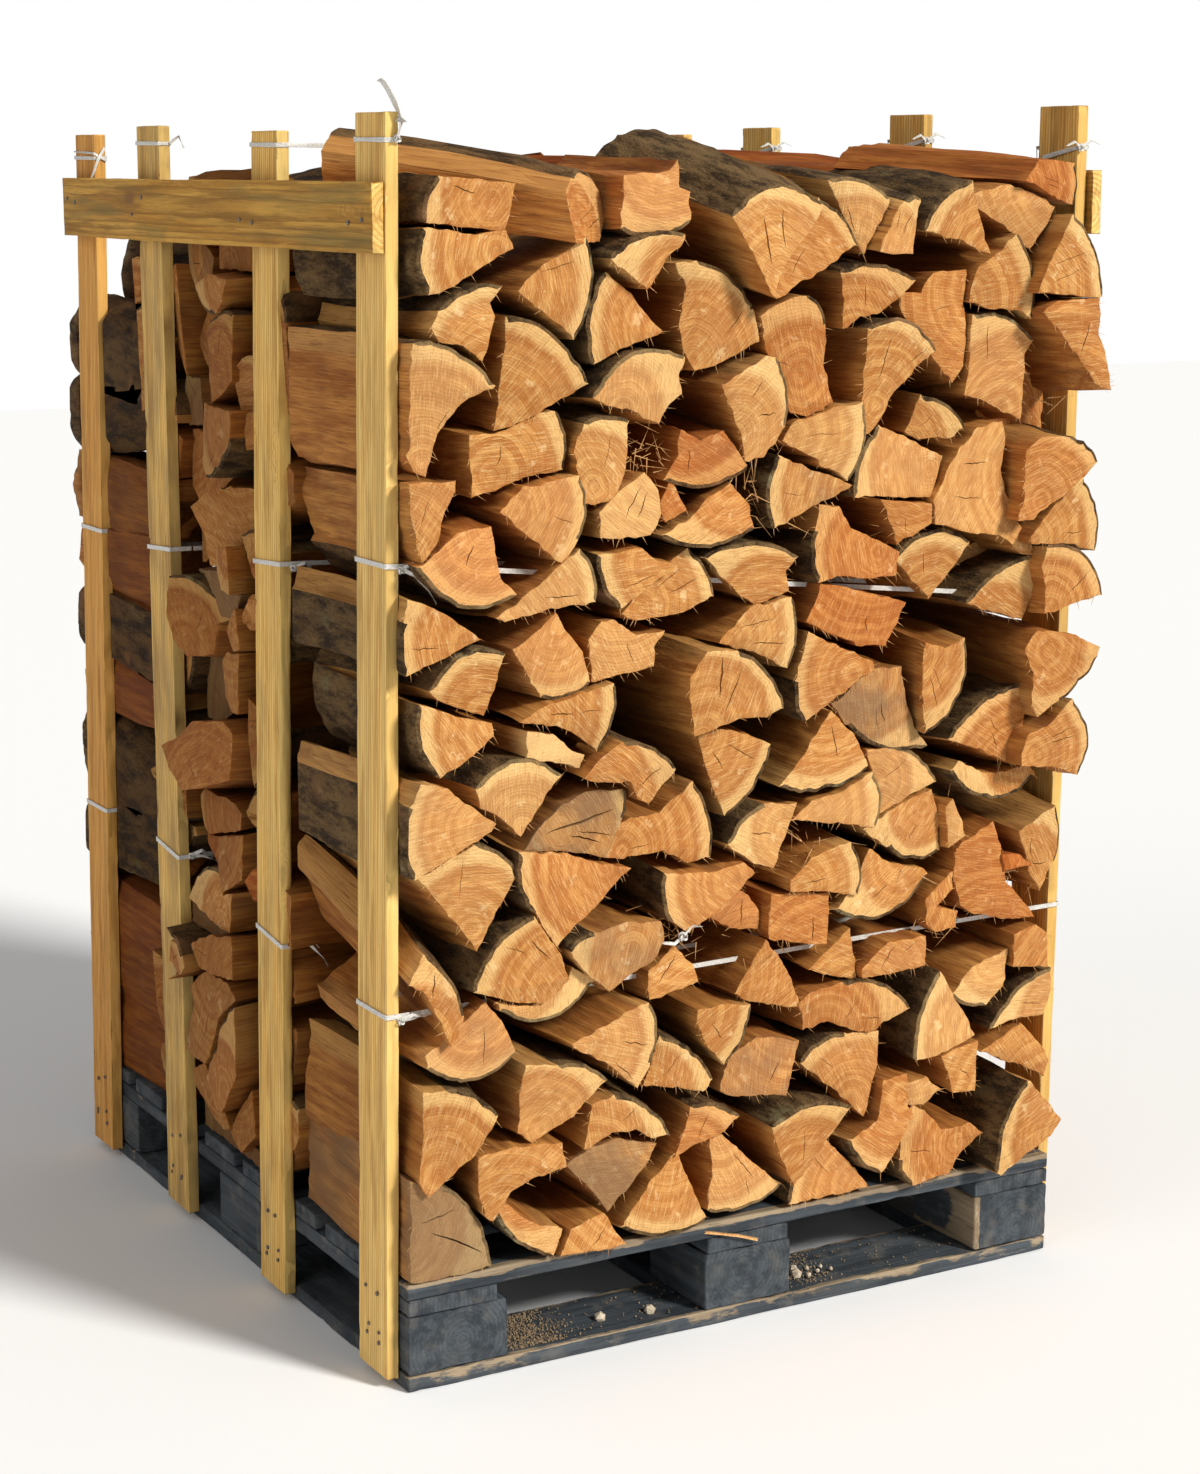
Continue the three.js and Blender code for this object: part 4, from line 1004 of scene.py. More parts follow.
class Wiring:
    """Short ways to add and join shader nodes in one tree."""

    def __init__(self, tree):
        self.tree = tree

    def put(self, kind, values=(), **settings):
        node = self.tree.nodes.new(kind)
        for key, value in settings.items():
            setattr(node, key, value)
        for key, value in dict(values).items():
            if isinstance(value, bpy.types.NodeSocket):
                self.tree.links.new(value, node.inputs[key])
            elif value is not None:
                if hasattr(value, "__len__") and len(value) == 3 and node.inputs[key].type == "RGBA":
                    value = (*value, 1)
                node.inputs[key].default_value = value
        return node

    def math(self, operation, a, b=None, c=None, clamp=False):
        return self.put("ShaderNodeMath", {0: a, 1: b, 2: c}, operation=operation, use_clamp=clamp).outputs[0]

    def vector(self, operation, a, b=None):
        node = self.put("ShaderNodeVectorMath", {0: a, 1: b}, operation=operation)
        return node.outputs["Value" if operation in ("LENGTH", "DOT_PRODUCT", "DISTANCE") else "Vector"]

    def noise(self, vector, scale, detail=3.0, rough=.55, out="Fac", **extra):
        return self.put("ShaderNodeTexNoise", {"Vector": vector, "Scale": scale, "Detail": detail,
                                               "Roughness": rough, **extra}).outputs[out]

    def blend(self, amount, a, b, kind="MIX"):
        mix = self.put("ShaderNodeMix", {0: amount, 6: a, 7: b}, data_type="RGBA", blend_type=kind)
        return mix.outputs[2]

    def span(self, value, low, high, to_low=0.0, to_high=1.0, kind="SMOOTHSTEP"):
        return self.put("ShaderNodeMapRange", {"Value": value, "From Min": low, "From Max": high,
                                               "To Min": to_low, "To Max": to_high},
                        interpolation_type=kind).outputs[0]

    def read(self, name, out="Vector"):
        return self.put("ShaderNodeAttribute", attribute_name=name).outputs[out]

    def squashed(self, vector, along):
        """The vector with its third part, which runs along the grain, multiplied."""
        return self.vector("MULTIPLY", vector, (1, 1, along))

    def group(self, tree, values):
        return self.put("ShaderNodeGroup", values, node_tree=tree).outputs


def new_group(name, ins, outs):
    """An empty node group with its inputs and outputs, and the ways to fill it."""
    tree = bpy.data.node_groups.new(name, "ShaderNodeTree")
    for label, kind, value in ins:
        socket = tree.interface.new_socket(label, in_out="INPUT", socket_type=kind)
        if value is not None:
            socket.default_value = value
    for label, kind in outs:
        tree.interface.new_socket(label, in_out="OUTPUT", socket_type=kind)
    wiring = Wiring(tree)
    given = tree.nodes.new("NodeGroupInput").outputs
    result = tree.nodes.new("NodeGroupOutput").inputs
    return tree, wiring, given, result


def growth_rings_group():
    """Growth rings, broad colour bands and rays of a trunk whose heart is the vector's own Z axis."""
    tree, w, given, result = new_group(
        "growth_rings",
        [("Vector", "NodeSocketVector", None), ("Ring", "NodeSocketFloat", .0035),
         ("Wobble", "NodeSocketFloat", 1.0)],
        [("Rings", "NodeSocketFloat"), ("Bands", "NodeSocketFloat"), ("Rays", "NodeSocketFloat"),
         ("Radius", "NodeSocketFloat")])
    parts = w.put("ShaderNodeSeparateXYZ", {0: given["Vector"]}).outputs
    flat = w.put("ShaderNodeCombineXYZ", {0: parts[0], 1: parts[1]}).outputs[0]
    radius = w.vector("LENGTH", flat)
    slow = w.squashed(given["Vector"], .12)
    wander = w.math("SUBTRACT", w.noise(slow, 28, 2), .5)
    wander = w.math("MULTIPLY", wander, w.math("MULTIPLY", given["Wobble"], .012))
    bent = w.math("ADD", radius, wander)
    phase = w.math("FRACT", w.math("DIVIDE", bent, given["Ring"]))
    rings = w.math("POWER", phase, 2.2)
    depth = w.math("MULTIPLY", parts[2], 3.1)
    band_at = w.math("ADD", w.math("MULTIPLY", bent, 90), depth)
    bands = w.put("ShaderNodeTexNoise", {"W": band_at, "Scale": 1.0, "Detail": 3.0},
                  noise_dimensions="1D").outputs[0]
    angle = w.math("ARCTAN2", parts[1], parts[0])
    fan = w.put("ShaderNodeCombineXYZ", {0: w.math("MULTIPLY", angle, 60), 1: w.math("MULTIPLY", radius, 35),
                                         2: parts[2]}).outputs[0]
    rays = w.noise(fan, 1.0, 3)
    for key, value in (("Rings", rings), ("Bands", bands), ("Rays", rays), ("Radius", bent)):
        w.tree.links.new(value, result[key])
    return tree


def fibre_group():
    """Long wood fibre along the vector's own Z axis, fine and coarse."""
    tree, w, given, result = new_group(
        "wood_fibre",
        [("Vector", "NodeSocketVector", None), ("Fine", "NodeSocketFloat", 420.0),
         ("Coarse", "NodeSocketFloat", 70.0)],
        [("Fine", "NodeSocketFloat"), ("Coarse", "NodeSocketFloat"), ("Blotch", "NodeSocketFloat")])
    thin = w.squashed(given["Vector"], .035)
    wide = w.squashed(given["Vector"], .09)
    fine = w.noise(thin, given["Fine"], 3, .6)
    coarse = w.noise(wide, given["Coarse"], 4, .6)
    blotch = w.noise(w.squashed(given["Vector"], .5), 17, 3)
    for key, value in (("Fine", fine), ("Coarse", coarse), ("Blotch", blotch)):
        w.tree.links.new(value, result[key])
    return tree


def tint_and_shade_group():
    """Turns a wood colour warmer or cooler, lighter or darker and greyer, from the piece's own tint.
    The darkening is partly the piece's own tone and partly painted shade.
    """
    tree, w, given, result = new_group(
        "piece_tint",
        [("Color", "NodeSocketColor", (.5, .3, .1, 1)), ("Tint", "NodeSocketVector", None),
         ("Grey", "NodeSocketColor", (.17, .118, .068, 1)), ("Patch", "NodeSocketFloat", .5)],
        [("Color", "NodeSocketColor")])
    parts = w.put("ShaderNodeSeparateXYZ", {0: given["Tint"]}).outputs
    red = w.blend(w.math("MULTIPLY", parts[0], .75, clamp=True), given["Color"], (.87, .55, .34), "MULTIPLY")
    light = w.blend(w.math("MULTIPLY", parts[1], .42, clamp=True), red, (.90, .62, .27))
    patch = w.span(w.math("ADD", given["Patch"], w.math("MULTIPLY", parts[2], .62)), .45, .95)
    amount = w.math("MULTIPLY", patch, w.math("MINIMUM", w.math("MULTIPLY", parts[2], 1.5), .66), clamp=True)
    grey = w.blend(amount, light, given["Grey"])
    # darker where the tint's lightness is below zero: partly the piece's own tone, partly painted shade from
    # its rank and its recess
    dark = w.blend(w.math("MULTIPLY", parts[1], -.28, clamp=True), grey, (.36, .25, .07), "MULTIPLY")
    w.tree.links.new(dark, result["Color"])
    return tree


def new_material(name):
    material = bpy.data.materials.new(name)
    material.use_nodes = True
    material.node_tree.nodes.clear()
    return material, Wiring(material.node_tree)


def finish_material(w, color, roughness, height=None, strength=.5, distance=.001, specular=.3, metallic=0.0):
    """Joins the colour and the relief to the material's shader."""
    normal = None
    if height is not None:
        bump = w.put("ShaderNodeBump", {"Height": height, "Strength": strength, "Distance": distance})
        normal = bump.outputs[0]
    shader = w.put("ShaderNodeBsdfPrincipled", {"Base Color": color, "Roughness": roughness,
                                                "Metallic": metallic, "Specular IOR Level": specular,
                                                "Normal": normal})
    out = w.tree.nodes.new("ShaderNodeOutputMaterial")
    w.tree.links.new(shader.outputs[0], out.inputs["Surface"])


def sawn_end_material(groups):
    """End grain: orange heart, pale sapwood under the bark, rays, rings and the marks of the saw."""
    material, w = new_material("sawn_end")
    trunk, tint, girth = w.read("trunk"), w.read("tint"), w.read("girth", "Fac")
    ring = w.group(groups["rings"], {"Vector": trunk, "Ring": .0042, "Wobble": 1.0})
    face = w.squashed(trunk, .2)
    mottle = w.noise(face, 55, 4, .65)
    cloud = w.noise(face, 16, 3)
    zone = w.math("ADD", w.math("MULTIPLY", ring["Bands"], .68), w.math("MULTIPLY", mottle, .32))
    heart = w.blend(w.span(zone, .40, .62), (.51, .196, .042), (.68, .335, .098))
    heart = w.blend(w.span(cloud, .42, .7, 0, .6), heart, (.48, .185, .050))
    from_bark = w.math("SUBTRACT", girth, ring["Radius"])
    sap_edge = w.math("ADD", from_bark, w.math("MULTIPLY", w.math("SUBTRACT", mottle, .5), .012))
    sap = w.span(sap_edge, .012, .024, 1, 0)
    wood = w.blend(w.math("MULTIPLY", sap, .70), heart, (.84, .555, .225))
    rim = w.math("MULTIPLY", w.span(from_bark, .024, .036, .5, 0), w.math("SUBTRACT", 1, sap))
    wood = w.blend(rim, wood, (.42, .155, .036))
    ring_lines = w.math("MULTIPLY", ring["Rings"], w.span(mottle, .35, .6))
    wood = w.blend(w.math("MULTIPLY", ring_lines, .24), wood, (.30, .125, .035))
    wood = w.blend(w.span(ring["Rays"], .58, .74, 0, .30), wood, (.80, .55, .29))
    wood = w.blend(w.span(mottle, .50, .30, 0, .34), wood, (.34, .125, .028))
    saw = w.noise(w.vector("MULTIPLY", trunk, (.28, 3.6, 1)), 150, 3, .65)
    wood = w.blend(w.span(saw, .50, .70, 0, .48), wood, (.88, .60, .27))
    wood = w.blend(w.span(saw, .48, .31, 0, .46), wood, (.34, .128, .026))
    pale = w.noise(face, 46, 3, .6)
    wood = w.blend(w.span(pale, .62, .72, 0, .5), wood, (.90, .64, .33))
    speck = w.noise(face, 800, 2)
    wood = w.blend(w.span(speck, .58, .72, 0, .42), wood, (.21, .085, .026))
    color = w.group(groups["tint"], {"Color": wood, "Tint": tint, "Patch": cloud})["Color"]
    pits = w.math("ADD", w.math("MULTIPLY", speck, .35), w.math("MULTIPLY", ring["Rings"], .25))
    height = w.math("ADD", w.math("MULTIPLY", saw, .5), pits)
    finish_material(w, color, .8, height, 1.0, .003, .22)
    return material


def split_face_material(groups):
    """Long torn fibre on the sides of a split log, with painted shade in its grooves."""
    material, w = new_material("split_face")
    trunk, tint, groove = w.read("trunk"), w.read("tint"), w.read("groove", "Fac")
    girth = w.read("girth", "Fac")
    fibre = w.group(groups["fibre"], {"Vector": trunk, "Fine": 480.0, "Coarse": 85.0})
    ring = w.group(groups["rings"], {"Vector": trunk, "Ring": .0042, "Wobble": 1.4})
    base = w.blend(w.span(fibre["Coarse"], .33, .67), (.38, .140, .026), (.64, .305, .074))
    base = w.blend(w.span(fibre["Blotch"], .45, .72, 0, .55), base, (.30, .092, .018))
    sap = w.span(w.math("SUBTRACT", girth, ring["Radius"]), .014, .026, 1, 0)
    base = w.blend(w.math("MULTIPLY", sap, .6), base, (.64, .39, .135))
    base = w.blend(w.span(fibre["Fine"], .55, .75, 0, .5), base, (.72, .44, .20))
    base = w.blend(w.span(fibre["Fine"], .47, .28, 0, .7), base, (.19, .068, .02))
    base = w.blend(w.math("MULTIPLY", ring["Rings"], .35), base, (.24, .09, .024))
    # painted shade in the low grooves of the torn relief and on the crack walls
    base = w.blend(w.math("MULTIPLY", w.span(groove, .45, .05), .5), base, (.17, .07, .028))
    color = w.group(groups["tint"], {"Color": base, "Tint": tint, "Patch": fibre["Blotch"]})["Color"]
    height = w.math("ADD", w.math("MULTIPLY", fibre["Fine"], .5), fibre["Coarse"])
    finish_material(w, color, .82, height, .8, .0022, .22)
    return material


def bark_material(groups):
    """Grey-brown plates with furrows darkened by painted shade, some moss and some rubbed patches."""
    material, w = new_material("bark")
    trunk, tint, groove = w.read("trunk"), w.read("tint"), w.read("groove", "Fac")
    long = w.squashed(trunk, .3)
    plates = w.noise(long, 48, 5, .7)
    fine = w.noise(w.squashed(trunk, .5), 330, 3, .7)
    cloud = w.noise(w.squashed(trunk, .7), 11, 3)
    base = w.blend(w.span(plates, .38, .60), (.038, .021, .008), (.185, .112, .046))
    base = w.blend(w.span(cloud, .5, .68, 0, .55), base, (.15, .075, .028))
    base = w.blend(w.span(fine, .55, .75, 0, .5), base, (.30, .205, .100))
    base = w.blend(w.span(fine, .46, .30, 0, .7), base, (.022, .013, .006))
    # painted shade deep in the bark's furrows
    base = w.blend(w.span(groove, .42, .05, 0, .85), base, (.024, .014, .007))
    moss = w.math("MULTIPLY", w.span(cloud, .42, .30), w.span(plates, .45, .60))
    base = w.blend(w.math("MULTIPLY", moss, .7), base, (.21, .205, .115))
    worn = w.math("MULTIPLY", w.span(cloud, .62, .72), w.span(groove, .45, .8))
    base = w.blend(w.math("MULTIPLY", worn, .6), base, (.36, .20, .10))
    height = w.math("ADD", w.math("MULTIPLY", plates, .9), w.math("MULTIPLY", fine, .4))
    bark_tint = w.vector("MULTIPLY", tint, (.5, .75, .3))
    color = w.group(groups["tint"], {"Color": base, "Tint": bark_tint, "Patch": cloud})["Color"]
    finish_material(w, color, .9, height, 1.0, .007, .2)
    return material


def batten_material(groups, name, pale, mid, deep, stain, stain_amount):
    """Sawn pine with rings, fine fibre, knots, streaks and dirt."""
    material, w = new_material(name)
    trunk, tint, wear = w.read("trunk"), w.read("tint"), w.read("groove", "Fac")
    fibre = w.group(groups["fibre"], {"Vector": trunk, "Fine": 520.0, "Coarse": 60.0})
    ring = w.group(groups["rings"], {"Vector": trunk, "Ring": .0062, "Wobble": .6})
    base = w.blend(w.span(ring["Bands"], .3, .7), pale, mid)
    base = w.blend(w.math("MULTIPLY", ring["Rings"], .85), base, deep)
    palest = tuple(min(1, c * 1.35) for c in pale)
    base = w.blend(w.span(fibre["Fine"], .52, .74, 0, .4), base, palest)
    base = w.blend(w.span(fibre["Fine"], .46, .28, 0, .6), base, deep)
    base = w.blend(w.span(fibre["Coarse"], .53, .33, 0, .75), base, deep)
    spots = w.put("ShaderNodeTexVoronoi", {"Vector": w.squashed(trunk, .42), "Scale": 8.5,
                                           "Randomness": 1.0}).outputs["Distance"]
    wobble = w.math("MULTIPLY", w.math("SUBTRACT", w.noise(trunk, 90, 2), .5), .06)
    knot = w.math("ADD", spots, wobble)
    base = w.blend(w.span(knot, .12, .05, 0, .8), base, (.19, .085, .03))
    knot_rings = w.span(w.math("FRACT", w.math("MULTIPLY", knot, 34)), .4, .9)
    halo = w.math("MULTIPLY", w.span(knot, .24, .13), knot_rings)
    base = w.blend(w.math("MULTIPLY", halo, .45), base, deep)
    streak = w.noise(w.squashed(trunk, .05), 42, 3)
    base = w.blend(w.span(streak, .52, .7, 0, stain_amount), base, stain)
    dirt = w.noise(w.squashed(trunk, .35), 24, 4)
    base = w.blend(w.span(dirt, .55, .75, 0, stain_amount * .8), base, stain)
    worn_corner = tuple(min(1, c * 1.3) for c in pale)
    base = w.blend(w.math("MULTIPLY", w.span(wear, .6, 1), .22), base, worn_corner)
    color = w.group(groups["tint"], {"Color": base, "Tint": tint, "Patch": dirt})["Color"]
    ridges = w.math("ADD", ring["Rings"], fibre["Coarse"])
    height = w.math("ADD", w.math("MULTIPLY", fibre["Fine"], .6), ridges)
    finish_material(w, color, .74, height, .5, .001, .28)
    return material


def paint_material(groups, name, greyness):
    """Dark paint rubbed through to greyed wood on the corners and where the piece is bare."""
    material, w = new_material(name)
    trunk, wear, bare = w.read("trunk"), w.read("groove", "Fac"), w.read("girth", "Fac")
    fibre = w.group(groups["fibre"], {"Vector": trunk, "Fine": 430.0, "Coarse": 55.0})
    ring = w.group(groups["rings"], {"Vector": trunk, "Ring": .006, "Wobble": .8})
    paint = w.blend(w.span(fibre["Coarse"], .35, .65), (.025, .033, .042), (.066, .080, .094))
    paint = w.blend(w.span(fibre["Blotch"], .5, .72, 0, .6), paint, (.080, .086, .088))
    paint = w.blend(w.math("MULTIPLY", ring["Rings"], .45), paint, (.022, .026, .032))
    wood = w.blend(w.span(fibre["Coarse"], .35, .65), (.24, .165, .095), (.44, .33, .20))
    wood = w.blend(w.math("MULTIPLY", ring["Rings"], .5), wood, (.18, .115, .06))
    rub = w.noise(w.squashed(trunk, .3), 85, 4, .7)
    gone = w.math("ADD", w.math("MULTIPLY", wear, .22), w.math("MULTIPLY", bare, .55))
    gone = w.math("ADD", gone, w.math("MULTIPLY", rub, .62))
    mask = w.span(gone, .60, .72)
    color = w.blend(mask, paint, w.blend(greyness, wood, (.20, .17, .13)))
    dust = w.noise(trunk, 30, 4)
    color = w.blend(w.span(dust, .52, .72, 0, .3), color, (.20, .18, .15))
    crack = w.math("MULTIPLY", w.span(fibre["Fine"], .40, .26), .8)
    color = w.blend(crack, color, (.012, .012, .013))
    ridges = w.math("ADD", fibre["Coarse"], w.math("MULTIPLY", ring["Rings"], .5))
    height = w.math("ADD", fibre["Fine"], ridges)
    finish_material(w, color, .72, height, .8, .0016, .3)
    return material


def twine_material():
    """White plastic twine with long fine fibre."""
    material, w = new_material("twine")
    place = w.put("ShaderNodeTexCoord").outputs["Object"]
    fine = w.noise(w.squashed(place, 6), 240, 3)
    color = w.blend(w.span(fine, .35, .7), (.46, .45, .42), (.80, .78, .74))
    finish_material(w, color, .38, fine, .6, .0006, .5)
    return material


def plain_material(name, low, high, scale, roughness, metallic=0.0):
    """A mottled finish for the small things."""
    material, w = new_material(name)
    place = w.put("ShaderNodeTexCoord").outputs["Object"]
    fine = w.noise(place, scale, 4, .65)
    color = w.blend(w.span(fine, .3, .7), low, high)
    finish_material(w, color, roughness, fine, .4, .0006, .5, metallic)
    return material


# ---------------------------------------------------------------- repeated small things

def repeat_tree(name, shape):
    """Puts one small shape at every place of the given points, aimed along their own "aim"."""
    tree = bpy.data.node_groups.new(name, "GeometryNodeTree")
    face = tree.interface
    face.new_socket("Places", in_out="INPUT", socket_type="NodeSocketGeometry")
    for label, value in (("Length", .03), ("Thickness", .001), ("Spread", .5), ("Smallest", .4)):
        face.new_socket(label, in_out="INPUT", socket_type="NodeSocketFloat").default_value = value
    face.new_socket("Seed", in_out="INPUT", socket_type="NodeSocketInt").default_value = 1
    face.new_socket("Finish", in_out="INPUT", socket_type="NodeSocketMaterial")
    face.new_socket("Pieces", in_out="OUTPUT", socket_type="NodeSocketGeometry")
    w = Wiring(tree)
    given = tree.nodes.new("NodeGroupInput").outputs
    points = w.put("GeometryNodeMeshToPoints", {"Mesh": given["Places"]}).outputs[0]
    if shape == "splinter":
        body = w.put("GeometryNodeMeshCone", {"Vertices": 4, "Side Segments": 2, "Radius Top": .00005,
                                              "Radius Bottom": given["Thickness"], "Depth": given["Length"]})
    elif shape == "nail":
        body = w.put("GeometryNodeMeshCylinder", {"Vertices": 12, "Radius": given["Thickness"],
                                                  "Depth": given["Length"]})
    else:
        body = w.put("GeometryNodeMeshIcoSphere", {"Radius": given["Thickness"], "Subdivisions": 1})
    jitter = w.put("FunctionNodeRandomValue", {0: (-1, -1, -1), 1: (1, 1, 1), "Seed": given["Seed"]},
                   data_type="FLOAT_VECTOR")
    aim = w.put("GeometryNodeInputNamedAttribute", {0: "aim"}, data_type="FLOAT_VECTOR")
    scaled = w.put("ShaderNodeVectorMath", {0: jitter.outputs[0], 3: given["Spread"]}, operation="SCALE")
    toward = w.vector("ADD", aim.outputs[0], scaled.outputs[0])
    turn = w.put("FunctionNodeAlignRotationToVector", {"Vector": toward}, axis="Z")
    size = w.put("FunctionNodeRandomValue", {2: given["Smallest"], 3: 1.0, "Seed": given["Seed"]},
                 data_type="FLOAT")
    placed = w.put("GeometryNodeInstanceOnPoints", {"Points": points, "Instance": body.outputs[0],
                                                    "Rotation": turn.outputs[0], "Scale": size.outputs[1]})
    real = w.put("GeometryNodeRealizeInstances", {"Geometry": placed.outputs[0]}).outputs[0]
    done = w.put("GeometryNodeSetMaterial", {"Geometry": real, "Material": given["Finish"]}).outputs[0]
    tree.links.new(done, tree.nodes.new("NodeGroupOutput").inputs[0])
    return tree


def repeated(name, tree, places, aims, material, slot, **values):
    """Runs the tree on the places and keeps the result as a plain mesh piece."""
    mesh = bpy.data.meshes.new(name + "_places")
    mesh.from_pydata([tuple(p) for p in places], [], [])
    data = mesh.attributes.new("aim", "FLOAT_VECTOR", "POINT").data
    data.foreach_set("vector", np.array(aims, np.float32).ravel())
    obj = bpy.data.objects.new(name, mesh)
    bpy.context.scene.collection.objects.link(obj)
    modifier = obj.modifiers.new("repeat", "NODES")
    modifier.node_group = tree
    values["Finish"] = material
    for socket in tree.interface.items_tree:
        if socket.in_out == "INPUT" and socket.name in values:
            modifier[socket.identifier] = values[socket.name]
    bpy.context.view_layer.update()
    graph = bpy.context.evaluated_depsgraph_get()
    result = bpy.data.meshes.new_from_object(obj.evaluated_get(graph))
    obj.modifiers.clear()
    result.name = name
    obj.data = result
    if not result.materials:
        result.materials.append(material)
    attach(obj, "root")
    return obj


def ribbon(points, width, thick, rng, twist=0.0, closed=False, step=.006, start=0.0):
    """Flat twine along a line of points, folded down its middle, stood on edge and turned by twist."""
    points = np.array(points, float)
    if closed:
        points = np.concatenate([points, points[:1]])
    gaps = np.linalg.norm(np.diff(points, axis=0), axis=1)
    at = np.concatenate([[0], np.cumsum(gaps)])
    t = np.unique(np.concatenate([np.linspace(0, at[-1], max(3, int(at[-1] / step))), at]))
    if closed:
        t = t[:-1]
    line = np.stack([np.interp(t, at, points[:, i]) for i in range(3)], -1)
    ahead = np.stack([np.interp(np.clip(t + .002, 0, at[-1]), at, points[:, i])
                      - np.interp(np.clip(t - .002, 0, at[-1]), at, points[:, i]) for i in range(3)], -1)
    ahead /= np.maximum(np.linalg.norm(ahead, axis=1), 1e-9)[:, None]
    up = np.array([0, 0, 1.0]) - ahead * ahead[:, 2:3]
    short = np.linalg.norm(up, axis=1) < .05
    up[short] = (0, 1, 0)
    up /= np.linalg.norm(up, axis=1)[:, None]
    side = np.cross(ahead, up)
    seed = rng.randrange(1 << 20)
    wave = lumps(np.stack([t / .021, t * 0, t * 0 + .5], -1), seed)
    pinch = 1 - .28 * np.abs(lumps(np.stack([t / .034, t * 0 + 3, t * 0], -1), seed + 1))
    angle = start + twist * t / at[-1] + .22 * wave
    across = up * np.cos(angle)[:, None] + side * np.sin(angle)[:, None]
    flat = np.cross(ahead, across)
    half = (width / 2 * pinch)[:, None]
    curl = (.35 * MM * wave)[:, None]
    rows = np.stack([line - across * half + flat * (thick + curl),
                     line - across * half * .2,
                     line + across * half * .2 - flat * thick * .2,
                     line + across * half + flat * (thick + curl),
                     line + across * half + flat * curl,
                     line - flat * thick,
                     line - across * half + flat * curl], 1)
    n, m = len(rows), rows.shape[1]
    faces = []
    for k in range(n if closed else n - 1):
        j = (k + 1) % n
        for i in range(m):
            q = (i + 1) % m
            faces.append((k * m + i, j * m + i, j * m + q, k * m + q))
    if not closed:
        faces.append(tuple(range(m)))
        faces.append(tuple((n - 1) * m + i for i in reversed(range(m))))
    return rows.reshape(-1, 3), faces


def twine_mesh(name, parts, material):
    """Joins ribbons and knots into one piece."""
    verts, faces, base = [], [], 0
    for points, polygons in parts:
        verts.extend(map(tuple, points))
        faces.extend(tuple(i + base for i in f) for f in polygons)
        base += len(points)
    mesh = bpy.data.meshes.new(name)
    mesh.from_pydata(verts, [], faces)
    mesh.materials.append(material)
    mesh.polygons.foreach_set("use_smooth", [True] * len(mesh.polygons))
    mesh.set_sharp_from_angle(angle=math.radians(50))
    obj = bpy.data.objects.new(name, mesh)
    bpy.context.scene.collection.objects.link(obj)
    return obj


def knot(centre, size, rng):
    """A pulled-tight knot: three turns of twine on a small ring."""
    turns = []
    for k in range(64):
        a = 2 * math.pi * k / 64
        r = 1 + .42 * math.cos(3 * a)
        turns.append((centre[0] + size * r * math.cos(2 * a) * .75, centre[1] + size * .55 * math.sin(3 * a),
                      centre[2] + size * r * math.sin(2 * a) * .7))
    return ribbon(turns, size * .62, .0005, rng, closed=True, step=.0016)


def post_section(node, z):
    """The low and high corner of an upright's section at a height."""
    rows = stations(node, 2)
    foot, top = rows[0], rows[-1]
    f = (z - foot[0]) / (top[0] - foot[0])
    return foot[1] + (top[1] - foot[1]) * f, foot[2] + (top[2] - foot[2]) * f


TIE_HEIGHTS = ((1, 1.540, 1.534), (2, 1.536, 1.545), (3, 1.540, 1.536), (4, 1.521, 1.530))
TWINE_AIR = .0009        # between the twine and the wood it goes round


